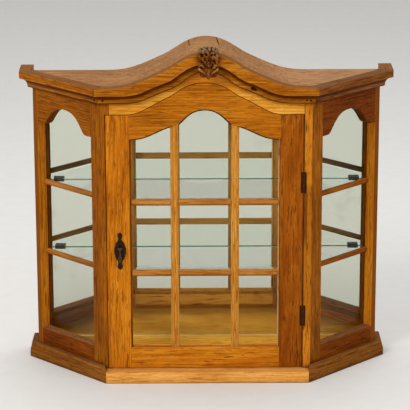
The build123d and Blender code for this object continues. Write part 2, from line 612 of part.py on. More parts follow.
CREST_HALF = [(0, -1.5), (5.5, -0.8), (9, 2), (15, 3.5), (17.5, 9), (19.8, 13), (21, 19.5), (21, 28), (20.4, 37),
              (21, 46), (19.5, 51.5), (15.5, 55.5), (12, 54.8), (8.5, 59.2), (4, 58.4), (0, 61.5)]
outline = CREST_HALF + [(-x, z) for x, z in reversed(CREST_HALF[1:-1])]
DEPTH = CREST_OUT - CORNICE_OUT
crest = carved(outline, CREST_BACK, CREST_BACK - 0.45 * DEPTH, 0.91)
cap = carved(outline, CREST_BACK, -CREST_CAP_BACK, 0.93)
cap_foot = CREST_FOOT - CREST_DROP
crown = band(CORNICE_TOP_PTS, [(0, cap_foot), (CORNICE_TOP_PTS[-1][0], cap_foot)], BACK_HALF)
crest += cap - slab(crown, CREST_BACK, 0)
LEAVES = [(0, 30, 26, 13, 90, 0.98), (5.5, 31, 23, 11, 66, 0.86), (-5.5, 31, 23, 11, 114, 0.86),
          (8, 27, 20.5, 11, 44, 0.80), (-8, 27, 20.5, 11, 136, 0.80), (6.5, 22.5, 14.5, 10, 10, 0.74),
          (-6.5, 22.5, 14.5, 10, 170, 0.74)]
for lx, lz, ln, wd, turn, deep in LEAVES:
    crest += carved(leaf_outline(lx, lz, ln, wd, turn), CREST_BACK - 1, CREST_BACK - deep * DEPTH, 0.5)
boss = [(5.4 * math.cos(math.radians(a)), 27 + 6.6 * math.sin(math.radians(a))) for a in range(0, 360, 36)]
crest += carved(boss, CREST_BACK - 1, -CREST_OUT, 0.55)
for side in (1, -1):
    arm = [(side * x, z) for x, z in ((3.5, 8), (17, 15), (18.8, 19), (2.5, 13))]
    crest += carved(arm, CREST_BACK - 1, CREST_BACK - 0.8 * DEPTH, 0.75)
    side_leaf = leaf_outline(side * 2.5, 7, 12.5, 7, 90 - side * 108)
    crest += carved(side_leaf, CREST_BACK - 1, CREST_BACK - 0.6 * DEPTH, 0.5)
crest += carved([(0, -0.6), (4.6, 4), (4.2, 10), (0, 14), (-4.2, 10), (-4.6, 4)], CREST_BACK - 1,
                CREST_BACK - 0.7 * DEPTH, 0.5)
keep("crest_carving", crest)

# ---- door: two stiles, arched head rail, bottom rail, each stepped down to a lip round the glass
UL, UR = DOOR_CX - DOOR_SIGHT, DOOR_CX + DOOR_SIGHT
stile_l = box(DOOR_LEFT, UL, 0, DOOR_T, DOOR_BOTTOM, DOOR_SHOULDER)
stile_l += box(UL - 1, UL + LIP, LIP_Y, GLASS_Y, RAIL_TOP_Z, ARCH_SHOULDER)
stile_r = box(UR, DOOR_RIGHT, 0, DOOR_T, DOOR_BOTTOM, DOOR_SHOULDER)
stile_r += box(UR - LIP, UR + 1, LIP_Y, GLASS_Y, RAIL_TOP_Z, ARCH_SHOULDER)
glass_bottom = RAIL_TOP_Z - REBATE


def shift(points):
    return [(DOOR_CX + x, z) for x, z in points]


def crossing(p, q, r, t):
    """Where the line from p to q crosses the line from r to t, or None if it doesn't."""
    ax, az, bx, bz = q[0] - p[0], q[1] - p[1], t[0] - r[0], t[1] - r[1]
    det = ax * bz - az * bx
    if abs(det) < 1e-9:
        return None
    u = ((r[0] - p[0]) * bz - (r[1] - p[1]) * bx) / det
    v = ((r[0] - p[0]) * az - (r[1] - p[1]) * ax) / det
    if 0 <= u <= 1 and 0 <= v <= 1:
        return (p[0] + u * ax, p[1] + u * az)
    return None


def moved(edge, t, d, ahead=0.0):
    """Point of the edge at t, moved d to its left side and ahead along it."""
    p, v = edge @ t, edge % t
    return (p.X - v.Y * d + v.X * ahead, p.Y + v.X * d + v.Y * ahead)


def arch_edges(d):
    """The door's arch moved up by d at right angles to itself, as three smooth edges with sharp corners."""
    mid_edge, out_edge = Spline(*both(ARCH_MID_PTS)), Spline(*ARCH_OUT_PTS)
    mid = [moved(mid_edge, 0.5 + i / 20, d) for i in range(11)] + [moved(mid_edge, 1, d, abs(d))]
    out = [moved(out_edge, 0, d, -abs(d))] + [moved(out_edge, i / 8, d) for i in range(9)]
    for i in range(len(mid) - 1, 0, -1):
        hits = [(j, crossing(mid[i - 1], mid[i], out[j], out[j + 1])) for j in range(len(out) - 1)]
        hits = [(j, p) for j, p in hits if p]
        if hits:
            j, corner = hits[0]
            break
    mid = [(0.0, mid[0][1])] + [p for p in mid[1:i] if corner[0] - p[0] > 2] + [corner]
    out = [corner] + [p for p in out[j + 1:-1] if p[0] - corner[0] > 4] + [(DOOR_SIGHT, out[-1][1])]
    left = [(-x, z) for x, z in reversed(out)]
    return [Spline(*shift(left)), Spline(*shift(both(mid))), Spline(*shift(out))]


def under_head(d):
    """Elevation of the head rail between its serpentine top and the arch moved up by d."""
    edges = arch_edges(d)
    left, right = edges[0] @ 0, edges[2] @ 1
    return make_face([head, Line(head @ 1, right)] + edges + [Line(left, head @ 0)])


def arch_pane(d, low, side):
    """Elevation under the arch moved up by d, widened by side beyond the stiles' inner edges, down to low."""
    edges = arch_edges(d)
    left, right = edges[0] @ 0, edges[2] @ 1
    ends = [(right.X, right.Y), (UR + side, right.Y), (UR + side, low), (UL - side, low), (UL - side, left.Y),
            (left.X, left.Y)]
    return make_face(edges + [Line(a, b) for a, b in zip(ends, ends[1:]) if math.dist(a, b) > 1e-6])


head = Spline(*shift(both([p for p in DOOR_TOP_PTS if p[0] < DOOR_SIGHT - 1] + [(DOOR_SIGHT, DOOR_SHOULDER)])))
rail_head = slab(under_head(0), 0, LIP_Y) + slab(under_head(-LIP), LIP_Y, GLASS_Y)
rail_head += slab(under_head(REBATE), GLASS_Y, DOOR_T)
rail_low = box(UL, UR, 0, DOOR_T, DOOR_BOTTOM, RAIL_TOP_Z)
rail_low += box(UL + LIP, UR - LIP, LIP_Y, GLASS_Y, RAIL_TOP_Z - 1, RAIL_TOP_Z + LIP)
rail_low -= box(UL - 1, UR + 1, GLASS_Y, DOOR_T + 1, glass_bottom, RAIL_TOP_Z + 5)
glass_side_top = ARCH_SHOULDER + REBATE
stile_l -= box(UL - REBATE, UL + 5, GLASS_Y, DOOR_T + 1, glass_bottom, glass_side_top)
stile_r -= box(UR - 5, UR + REBATE, GLASS_Y, DOOR_T + 1, glass_bottom, glass_side_top)
rail_head -= box(UL - 1, UL + LIP, LIP_Y - 1, GLASS_Y + 1, ARCH_SHOULDER - 20, ARCH_SHOULDER)
rail_head -= box(UR - LIP, UR + 1, LIP_Y - 1, GLASS_Y + 1, ARCH_SHOULDER - 20, ARCH_SHOULDER)
door_tenons = []
for z0, z1 in ((DOOR_BOTTOM + 5.5, RAIL_TOP_Z - 10.8), (ARCH_SHOULDER + 11.5, DOOR_SHOULDER - 6)):
    door_tenons.append([box(x0, x0 + DOOR_TENON_LONG, LIP_Y, GLASS_Y - 1, z0, z1) for x0 in (UL - DOOR_TENON_LONG, UR)])
for tl, tr in door_tenons:
    stile_l -= tl
    stile_r -= tr
rail_low += door_tenons[0][0] + door_tenons[0][1]
rail_head += door_tenons[1][0] + door_tenons[1][1]
for i, hz in enumerate(HINGE_Z):
    stile_r -= notches[i]
    stile_r -= box(DOOR_RIGHT - LEAF_T, DOOR_RIGHT + 1, 0, LEAF_END_Y, hz - HINGE_HALF, hz + HINGE_HALF)
for s in door_screws:
    stile_r -= s
keep("door_stile_left", stile_l)
keep("door_stile_right", stile_r)
keep("door_rail_top", rail_head)
keep("door_rail_bottom", rail_low)

# ---- door glazing: one arched pane held from behind by beads, half-round bars in front
pane_face = arch_pane(REBATE - GLASS_PLAY, glass_bottom + GLASS_PLAY, REBATE - GLASS_PLAY)
keep("door_glass", slab(pane_face, GLASS_Y, GLASS_Y + GLASS_T))
bead_y0 = GLASS_Y + GLASS_T
bead_head = arch_pane(REBATE, ARCH_SHOULDER - 30, 0) - arch_pane(BEAD_IN, ARCH_SHOULDER - 40, 1)
beads = [box(UL - REBATE, UL - BEAD_IN, bead_y0, DOOR_T, glass_bottom, glass_side_top),
         box(UR + BEAD_IN, UR + REBATE, bead_y0, DOOR_T, glass_bottom, glass_side_top),
         box(UL - BEAD_IN, UR + BEAD_IN, bead_y0, DOOR_T, glass_bottom, RAIL_TOP_Z - BEAD_IN),
         slab(bead_head, bead_y0, DOOR_T)]
keep("door_beads", Compound(beads))


def bar_edges(w, face, back):
    """Half-round bar section across its width, with its face to the front."""
    h = w / 2
    flat = face + BAR_ROUND
    return [Line((-h, back), (-h, flat)), ThreePointArc((-h, flat), (0, face), (h, flat)),
            Line((h, flat), (h, back)), Line((h, back), (-h, back))]


for name, u in (("door_bar_left", -BAR_U), ("door_bar_right", BAR_U)):
    bar = extrude(Pos(DOOR_CX + u, 0, RAIL_TOP_Z) * make_face(bar_edges(BAR_W, BAR_FACE_Y, GLASS_Y)),
                  amount=ARCH_SHOULDER + ARCH_RISE - RAIL_TOP_Z, dir=(0, 0, 1))
    bar = bar - rail_head - rail_low
    solids = sorted(bar.solids(), key=lambda q: q.volume)
    keep(name, solids[-1])
cross_spans = [(UL + LIP, DOOR_CX - BAR_U - BAR_W / 2), (DOOR_CX - BAR_U + BAR_W / 2, DOOR_CX + BAR_U - BAR_W / 2),
               (DOOR_CX + BAR_U + BAR_W / 2, UR - LIP)]
for name, z in (("door_bars_lower", CROSS_Z[0]), ("door_bars_upper", CROSS_Z[1])):
    segments = []
    for x0, x1 in cross_spans:
        plane = Plane(origin=(x0, 0, z), x_dir=(0, 0, -1), z_dir=(1, 0, 0))
        segments.append(extrude(plane * make_face(bar_edges(CROSS_H, BAR_FACE_Y + CROSS_SET, GLASS_Y)), amount=x1 - x0))
    keep(name, Compound(segments))

# ---- handle: shaped back plate with two ears, a pin and a pear drop
PLATE_BOW = [(0, 1), (0.321, 0.94), (0.429, 0.833), (0.304, 0.721), (0.268, 0.612), (0.482, 0.519),
             (0.75, 0.396), (0.839, 0.246), (1, 0.123), (1, 0), (0.929, -0.137), (0.821, -0.273),
             (0.661, -0.41), (0.429, -0.519), (0.268, -0.601), (0.304, -0.694), (0.482, -0.806),
             (0.393, -0.913), (0, -1)]
plate_half = drawn(PLATE_BOW, PLATE_HALF_W, 0, PLATE_HALF_H)
plate_pts = plate_half + [(-x, z) for x, z in reversed(plate_half[1:-1])]
plate = slab(make_face(Polyline(*[(HANDLE_X + x, HANDLE_Z + z) for x, z in plate_pts], close=True)), -PLATE_T, 0)
for side in (-1, 1):
    x0, x1 = sorted((HANDLE_X + side * EAR_IN, HANDLE_X + side * EAR_OUT))
    plate += box(x0, x1, DROP_Y, -PLATE_T + 0.2, EYE_Z - EAR_R, EYE_Z + EAR_R) + rod_x(x0, x1, DROP_Y, EYE_Z, EAR_R)
pin = rod_x(HANDLE_X - EAR_OUT - 0.6, HANDLE_X + EAR_OUT + 0.6, DROP_Y, EYE_Z, DROP_PIN_R)
keep("handle_plate", plate - pin)
keep("handle_pin", pin)
PEAR_BOW = [(0, -0.05), (0.38, -0.05), (0.34, -0.15), (0.45, -0.28), (0.88, -0.57), (1, -0.7), (0.9, -0.82),
            (0.34, -0.9), (0.42, -0.95), (0, -1)]
pear = drawn(PEAR_BOW, DROP_R, 0, DROP_LONG)
pear_face = make_face(Polyline(*pear, close=True))
pear_plane = Plane(origin=(HANDLE_X, DROP_Y, EYE_Z), x_dir=(1, 0, 0), z_dir=(0, -1, 0))
drop = revolve(pear_plane * pear_face, axis=Axis((HANDLE_X, DROP_Y, EYE_Z), (0, 0, 1)))
drop += rod_x(HANDLE_X - EAR_IN + 0.3, HANDLE_X + EAR_IN - 0.3, DROP_Y, EYE_Z, EAR_R - 0.1)
drop -= rod_x(HANDLE_X - 6, HANDLE_X + 6, DROP_Y, EYE_Z, DROP_PIN_R + RUN_FIT)
keep("handle_drop", drop)

# ---- magnetic catch behind the left stile
catch_z1 = DOOR_SHOULDER - CATCH_DROP
catch_z0 = catch_z1 - CATCH_H
magnet_y = DOOR_T + CATCH_PLATE_T + CATCH_GAP
keep("catch_plate", box(-OPEN_HALF + 2, -OPEN_HALF + CATCH_W - 1.5, DOOR_T, DOOR_T + CATCH_PLATE_T, catch_z0 + 2,
                        catch_z1 - 2))
keep("catch_magnet", box(-OPEN_HALF, -OPEN_HALF + CATCH_W, magnet_y, FRONT_POST_BACK - 1, catch_z0, catch_z1))

# ---- hinge parts
for name, leaves_list in (("hinge_leaf_post", post_leaves), ("hinge_leaf_door", door_leaves)):
    keep(name + "_lower", leaves_list[0])
    keep(name + "_upper", leaves_list[1])
keep("hinge_pins", Compound(pins))
keep("hinge_screws_post", Compound(post_screws))
keep("hinge_screws_door", Compound(door_screws))

os.makedirs("parts", exist_ok=True)
for name, shape in PARTS.items():
    placed = Pos(0, FRONT_Y, 0) * shape
    export_step(placed, "parts/" + name + ".step")
    solids = placed.solids()
    bb = placed.bounding_box()
    print("%-24s %2d solids %9.1f mm3  z %6.1f..%6.1f" % (name, len(solids), sum(s.volume for s in solids),
                                                      bb.min.Z, bb.max.Z))
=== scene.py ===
# %% [markdown]
# # A glazed oak display case
# The case stands on its plinth: a flat front with one hinged door, two splayed glazed
# sides, a serpentine bonnet cornice with a carved crest, a mirror back and two glass
# shelves. The exact joinery comes in as a fixed frame. This lesson dresses it: oak with
# its grain turned piece by piece, clear and mirror glass, dark hardware, and carved work.
# %% load the fixed frame
import math
import random

import bmesh
import bpy
from mathutils import Matrix, Vector


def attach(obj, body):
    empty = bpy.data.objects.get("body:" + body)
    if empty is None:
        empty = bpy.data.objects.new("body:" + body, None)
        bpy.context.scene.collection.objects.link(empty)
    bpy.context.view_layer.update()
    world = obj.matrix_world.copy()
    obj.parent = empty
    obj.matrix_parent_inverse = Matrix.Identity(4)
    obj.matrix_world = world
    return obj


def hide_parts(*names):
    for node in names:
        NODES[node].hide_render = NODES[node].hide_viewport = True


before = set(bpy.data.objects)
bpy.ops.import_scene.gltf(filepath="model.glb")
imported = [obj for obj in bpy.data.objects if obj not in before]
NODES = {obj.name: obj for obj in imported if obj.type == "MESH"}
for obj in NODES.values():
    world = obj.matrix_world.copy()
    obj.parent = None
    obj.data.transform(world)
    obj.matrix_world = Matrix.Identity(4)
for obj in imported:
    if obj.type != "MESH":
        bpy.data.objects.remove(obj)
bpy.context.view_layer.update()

FRONT_Y = -0.0735         # the front faces of the posts and the door


# %% [markdown]
# Colours are chosen as they look on a screen, then turned into the linear values that the
# shaders work in. One helper does that for every finish in the lesson.
# %% screen colour to linear
def screen(r, g, b):
    """A colour given in 0-255 screen values, as linear RGBA."""
    out = []
    for v in (r, g, b):
        c = v / 255.0
        out.append(c / 12.92 if c <= 0.04045 else ((c + 0.055) / 1.055) ** 2.4)
    return (*out, 1.0)


print("mid oak:", [round(v, 3) for v in screen(176, 100, 22)])


# %% [markdown]
# ## Shared effects
# A node group is a small machine with named inputs and outputs. These helpers build one:
# they add and wire nodes in a line or two each, so that the finishes further down read
# like recipes.
# %% helpers for node trees
class Recipe:
    """Adds nodes to one node tree and wires them."""

    def __init__(self, tree):
        self.tree = tree

    def add(self, kind, **settings):
        """A new node of this kind, with its settings."""
        node = self.tree.nodes.new(kind)
        for key, value in settings.items():
            setattr(node, key, value)
        return node

    def feed(self, socket, value):
        """Links an output to a socket, or gives the socket a plain value."""
        if isinstance(value, bpy.types.NodeSocket):
            self.tree.links.new(value, socket)
        elif value is not None:
            socket.default_value = value

    def math(self, operation, a, b=None, clamp=False):
        """One Math node. clamp keeps its result between 0 and 1."""
        node = self.add("ShaderNodeMath", operation=operation, use_clamp=clamp)
        self.feed(node.inputs[0], a)
        self.feed(node.inputs[1], b)
        return node.outputs[0]

    def inverse(self, mask):
        """1 minus a mask."""
        return self.math("SUBTRACT", 1.0, mask)

    def vector(self, operation, a, b):
        """One Vector Math node. Two of the operations give a number."""
        node = self.add("ShaderNodeVectorMath", operation=operation)
        self.feed(node.inputs[0], a)
        self.feed(node.inputs[1], b)
        return node.outputs["Value"] if operation in ("DISTANCE", "DOT_PRODUCT") else node.outputs[0]

    def split(self, vector):
        """A vector's three components, as outputs."""
        node = self.add("ShaderNodeSeparateXYZ")
        self.feed(node.inputs[0], vector)
        return node.outputs

    def here(self):
        """The point's own place on the object, in metres."""
        return self.add("ShaderNodeTexCoord").outputs["Object"]

    def step(self, value, low, high):
        """0 below low, 1 above high, smooth between."""
        node = self.add("ShaderNodeMapRange", interpolation_type="SMOOTHSTEP")
        for name, v in (("Value", value), ("From Min", low), ("From Max", high)):
            self.feed(node.inputs[name], v)
        return node.outputs["Result"]

    def mix(self, amount, a, b):
        """Colour a where amount is 0, colour b where it is 1."""
        node = self.add("ShaderNodeMix", data_type="RGBA")
        for index, v in ((0, amount), (6, a), (7, b)):
            self.feed(node.inputs[index], v)
        return node.outputs[2]

    def noise(self, vector, scale, detail=2.0, rough=0.5, distort=0.0):
        """Soft noise from 0 to 1, with scale bumps to the metre."""
        node = self.add("ShaderNodeTexNoise")
        for name, v in (("Vector", vector), ("Scale", scale), ("Detail", detail),
                        ("Roughness", rough), ("Distortion", distort)):
            self.feed(node.inputs[name], v)
        return node.outputs["Fac"]

    def streaky(self, vector, along, across, detail, rough):
        """Noise drawn out along X: bumps to the metre along it and across it."""
        return self.noise(self.vector("MULTIPLY", vector, (along, across, across)), 1.0, detail, rough)

    def ramp(self, value, stops):
        """Colours laid along a value. stops are (place, colour)."""
        node = self.add("ShaderNodeValToRGB")
        self.feed(node.inputs[0], value)
        marks = node.color_ramp.elements
        while len(marks) < len(stops):
            marks.new(0.5)
        for mark, (place, colour) in zip(marks, stops):
            mark.position = place
            mark.color = colour
        return node.outputs[0]

    def bump(self, height, strength, depth):
        """A normal roughened by a height mask, depth metres deep."""
        node = self.add("ShaderNodeBump")
        self.feed(node.inputs["Height"], height)
        node.inputs["Strength"].default_value = strength
        node.inputs["Distance"].default_value = depth
        return node.outputs[0]

    def either(self, amount, first, second):
        """The first shader where amount is 0, the second where it is 1."""
        node = self.add("ShaderNodeMixShader")
        for index, v in enumerate((amount, first, second)):
            self.feed(node.inputs[index], v)
        return node.outputs[0]


print("node recipe ready")

# %% [markdown]
# Two starting points: an empty group with its sockets made, and a new material with the
# shader that every solid finish ends in.
# %% start a group or a material
SCALAR, VECTOR = "NodeSocketFloat", "NodeSocketVector"


def new_group(name, inputs, outputs):
    """A shader node group with its sockets made, and a recipe to fill it."""
    tree = bpy.data.node_groups.new(name, "ShaderNodeTree")
    for title, kind, value in inputs:
        socket = tree.interface.new_socket(name=title, in_out="INPUT", socket_type=kind)
        if value is not None:
            socket.default_value = value
    for title in outputs:
        tree.interface.new_socket(name=title, in_out="OUTPUT", socket_type=SCALAR)
    recipe = Recipe(tree)
    return tree, recipe, recipe.add("NodeGroupInput"), recipe.add("NodeGroupOutput")


def blank(name):
    """A new material with its Principled shader and a recipe to feed it."""
    material = bpy.data.materials.new(name)
    material.use_nodes = True
    recipe = Recipe(material.node_tree)
    return material, recipe, material.node_tree.nodes["Principled BSDF"]


print("group and material helpers ready")

# %% [markdown]
# ### Oak figure
# Sawn oak shows three things: broad growth-ring bands that wander along the board, short
# dark open pores, and paler rays. All of them are far longer along the grain than across
# it. The group squeezes the coordinates along X, bends them with a slow noise so that the
# bands wander, then reads rings, fibres, pores and rays as separate masks.
# %% the oak figure group
WANDER = 0.055            # how far the rings stray, in metres
PITH = (0.0, 0.31, 0.23)  # how far the middle of the log lies from the board
oak_tree, r, gin, gout = new_group(
    "oak_figure", [("Vector", VECTOR, None), ("Ring Width", SCALAR, 0.005)],
    ("Rings", "Fibre", "Streaks", "Flecks", "Pores", "Rays", "Cloud"))
grain = gin.outputs["Vector"]
slow = r.add("ShaderNodeTexNoise")
r.feed(slow.inputs["Vector"], r.vector("MULTIPLY", grain, (2.2, 9.0, 9.0)))
r.feed(slow.inputs["Scale"], 1.0)
r.feed(slow.inputs["Detail"], 2.0)
bend = r.vector("SUBTRACT", slow.outputs["Color"], (0.5, 0.5, 0.5))
bend = r.vector("MULTIPLY", bend, (WANDER, WANDER, WANDER))
bent = r.vector("ADD", r.vector("MULTIPLY", grain, (0.12, 1.0, 1.0)), bend)
_, across, above = r.split(r.vector("ADD", bent, PITH))
from_pith = r.math("SQRT", r.math("ADD", r.math("POWER", across, 2.0), r.math("POWER", above, 2.0)))
year = r.math("FRACT", r.math("DIVIDE", from_pith, gin.outputs["Ring Width"]))
rings = r.math("MULTIPLY", r.step(year, 0.05, 0.75), r.inverse(r.step(year, 0.86, 1.0)))
fleck = r.step(r.streaky(grain, 30.0, 350.0, 3.0, 0.62), 0.49, 0.66)
pore = r.step(r.streaky(grain, 95.0, 1150.0, 1.0, 0.5), 0.60, 0.70)
r.feed(gout.inputs["Rings"], rings)
r.feed(gout.inputs["Fibre"], r.streaky(grain, 14.0, 520.0, 3.0, 0.65))
r.feed(gout.inputs["Streaks"], r.streaky(grain, 5.0, 225.0, 3.0, 0.62))
r.feed(gout.inputs["Flecks"], r.math("MULTIPLY", fleck, r.math("ADD", 0.55, rings)))
r.feed(gout.inputs["Pores"], r.math("MULTIPLY", pore, r.math("ADD", 0.35, rings)))
r.feed(gout.inputs["Rays"], r.step(r.streaky(grain, 48.0, 260.0, 1.0, 0.5), 0.62, 0.78))
r.feed(gout.inputs["Cloud"], r.streaky(grain, 6.0, 22.0, 3.0, 0.6))
print("oak figure group:", len(oak_tree.nodes), "nodes")


# %% [markdown]
# ### Edge wear, corner grime and painted shade
# Hands rub the polish off arrises, and wax and dust settle where two pieces meet, where shade
# falls too, so the corners get grime and painted shade together. The Bevel shading node finds
# arrises by comparing a rounded normal with the true one, and ambient occlusion finds the
# corners. Both depend only on the shape, not on the viewer.
# Faces that look down, where no light comes from below, get painted shade, deepest under
# the mouldings: they are found from the normal's own direction. A piece that lies against
# glass sets Neighbours to 0, so that only its own corners count and clear glass doesn't
# blacken the wood behind it.
# %% the wear, grime and painted shade group
wear_tree, r, gin, gout = new_group(
    "edge_wear_grime_and_shade",
    [("Vector", VECTOR, None), ("Edge Size", SCALAR, 0.0016), ("Corner Size", SCALAR, 0.009),
     ("Neighbours", SCALAR, 1.0)],
    ("Edge", "Grime And Shade", "Dust", "Shade Below"))
where, neighbours = gin.outputs["Vector"], gin.outputs["Neighbours"]
shape = r.add("ShaderNodeNewGeometry")
round_edge = r.add("ShaderNodeBevel", samples=4)
r.feed(round_edge.inputs["Radius"], gin.outputs["Edge Size"])
likeness = r.vector("DOT_PRODUCT", round_edge.outputs[0], shape.outputs["True Normal"])
uneven = r.noise(where, 60.0, 3.0, 0.6)
edge = r.inverse(r.step(likeness, 0.80, 0.99))
r.feed(gout.inputs["Edge"], r.math("MULTIPLY", edge, r.step(uneven, 0.30, 0.62)))
openness = []
for own_corners_only, share in ((True, r.inverse(neighbours)), (False, neighbours)):
    corner = r.add("ShaderNodeAmbientOcclusion", samples=4, only_local=own_corners_only)
    r.feed(corner.inputs["Distance"], gin.outputs["Corner Size"])
    openness.append(r.math("MULTIPLY", corner.outputs["AO"], share))
# corners: wax and dust, with painted shade, found by ambient occlusion
closed = r.inverse(r.step(r.math("ADD", *openness), 0.25, 0.95))
r.feed(gout.inputs["Grime And Shade"], r.math("MULTIPLY", closed, r.math("ADD", 0.55, r.math("MULTIPLY", uneven, 0.7))))
up = r.split(shape.outputs["Normal"])[2]
speckle = r.math("MULTIPLY", r.noise(where, 900.0, 2.0, 0.7), 0.75)
drift = r.math("MULTIPLY", r.noise(where, 14.0, 4.0, 0.6), 0.90)
settled = r.math("ADD", 0.12, r.math("ADD", speckle, drift))
r.feed(gout.inputs["Dust"], r.math("MULTIPLY", r.step(up, 0.45, 0.85), settled, True))
# painted shade on faces that look down
r.feed(gout.inputs["Shade Below"], r.step(r.math("MULTIPLY", up, -1.0), 0.10, 0.62))
print("wear group:", len(wear_tree.nodes), "nodes")


def wear_on(recipe, where, edge_size, corner_size, neighbours=1.0):
    """The wear group's four masks, at this piece's own sizes."""
    wear = recipe.add("ShaderNodeGroup", node_tree=wear_tree)
    recipe.feed(wear.inputs["Vector"], where)
    recipe.feed(wear.inputs["Edge Size"], edge_size)
    recipe.feed(wear.inputs["Corner Size"], corner_size)
    recipe.feed(wear.inputs["Neighbours"], neighbours)
    return wear.outputs


# %% [markdown]
# ## Oak finishes
# Every oak piece is one recipe with its own values: which way the grain runs, where on the
# board it was cut, and how dark the stain took. A Mapping node turns the coordinates so
# that X always follows the board, and its location moves the cut to another part of the log.
# Each stain is three colours, from the dark pores to the pale rays.
# %% grain and stains
GRAIN_TURN = {"across": (0.0, 0.0, 0.0), "upright": (0.0, math.pi / 2, 0.0),
              "depth": (0.0, 0.0, -math.pi / 2), "splay_right": (0.0, 0.0, -math.pi / 4),
              "splay_left": (0.0, 0.0, math.pi / 4)}
TONES = {
    "honey": ((124, 60, 6), (194, 112, 18), (218, 142, 38)),
    "glow": ((118, 58, 4), (182, 104, 12), (210, 136, 32)),
    "golden": ((166, 98, 20), (218, 144, 38), (240, 178, 76)),
    "pale": ((176, 106, 34), (228, 158, 70), (242, 184, 104)),
    "bar": ((130, 71, 16), (178, 111, 38), (206, 143, 70)),
    "bar_upright": ((142, 80, 14), (194, 127, 42), (222, 160, 76)),
    "amber": ((90, 40, 4), (150, 76, 10), (178, 102, 22)),
    "fascia": ((106, 50, 6), (170, 97, 13), (204, 134, 42)),
    "fascia_left": ((96, 48, 5), (162, 92, 14), (198, 126, 38)),
    # darker than fascia_left: painted shade on the right side, which is turned from the light
    "fascia_right_shaded": ((70, 33, 10), (128, 72, 26), (160, 102, 42)),
    "post": ((88, 42, 4), (142, 77, 11), (174, 104, 22)),
    "back_post": ((140, 76, 8), (212, 127, 26), (234, 158, 54)),
    "plinth": ((78, 40, 8), (128, 74, 20), (158, 102, 40)),
    "russet": ((70, 28, 2), (119, 55, 5), (150, 80, 14)),
    "umber": ((64, 23, 3), (112, 50, 7), (140, 72, 12)),
    "roof": ((76, 44, 18), (144, 94, 50), (196, 144, 94)),
    "panel": ((140, 96, 50), (190, 142, 84), (214, 172, 116)),
    "inside": ((160, 98, 14), (232, 166, 44), (246, 196, 84)),
}
WIDE_RINGS, NARROW_RINGS = 0.006, 0.0045
WOOD_IOR = 1.12           # low, as waxed wood shows no glassy rim light
print("oak tones:", ", ".join(TONES))

# %% [markdown]
# ### Years of dust, wax and rubbing, with painted light and shade
# Pale dust lies on upward faces, grime and painted shade fill the corners, and the cornice's
# hollow holds the deepest painted shade. The faces that look inwards were hardly stained at
# all, so round the glass they turn a duller tan, painted somewhat lighter for the light
# inside the case. The door's inner faces and the right bottom rail are painted lighter still
# for the light that reaches them, and the left bottom rail has a tone of its own. The door's
# bottom rail is painted lit down to a ledge line just above the floor, with painted shade
# below it.
# %% what the years added, with painted light and shade
DUST = screen(168, 126, 86)
WAXED_DUST = screen(112, 78, 50)
# grime and painted shade in corners and under boards, and the dark of cracks and nail holes
GRIME_AND_SHADE = screen(38, 15, 4)
RIM = screen(74, 42, 20)
HOLLOW_SHADE = screen(64, 17, 1)
# a duller tan for bare inner faces, painted somewhat lighter for the light inside the case
BARE_AND_LIT = screen(150, 116, 62)
# painted light on the door's inner faces
LIT_DOOR_INSIDE = screen(186, 138, 72)
# painted light on the right bottom rail's inner face; the left one is darker
BARE_AND_LIT_AT = {"door_stile_left": LIT_DOOR_INSIDE, "door_stile_right": LIT_DOOR_INSIDE,
           "side_rail_bottom_left": screen(152, 96, 30), "side_rail_bottom_right": screen(216, 138, 44)}
# painted light above the ledge line on the door's bottom rail, painted shade below it
RAIL_LIT = screen(232, 178, 74)
RAIL_SHADED = screen(160, 102, 26)
LEDGE_Z = 0.0342
BESIDE_GLASS = ("door_stile_left", "door_stile_right", "door_rail_top", "door_rail_bottom", "door_bar_left",
                "door_bar_right", "door_bars_upper", "door_bars_lower", "door_beads", "side_beads",
                "side_bar_upper_left", "side_bar_upper_right", "side_bar_lower_left", "side_bar_lower_right",
                "side_rail_bottom_left", "side_rail_bottom_right", "base_board", "base_rail_front",
                "base_rail_back", "back_panel")
print("pieces beside glass:", len(BESIDE_GLASS))

# %% [markdown]
# ### Local tones
# One board ages by different amounts along its length, and two boards of one piece seldom
# match. Some patches paint light and shade instead: painted shade of a gap, a painted shadow
# on the floor, painted shade under the cornice and a painted highlight on a lip. A picture
# painted on the board could hold all that, but a few soft masks along the axes are enough.
# Each entry gives an axis, where the change starts and where it is full, in metres, its
# colour and its strength. Further axes, where given, confine it.
# %% where a board differs from its own stain
X, Y, Z = range(3)
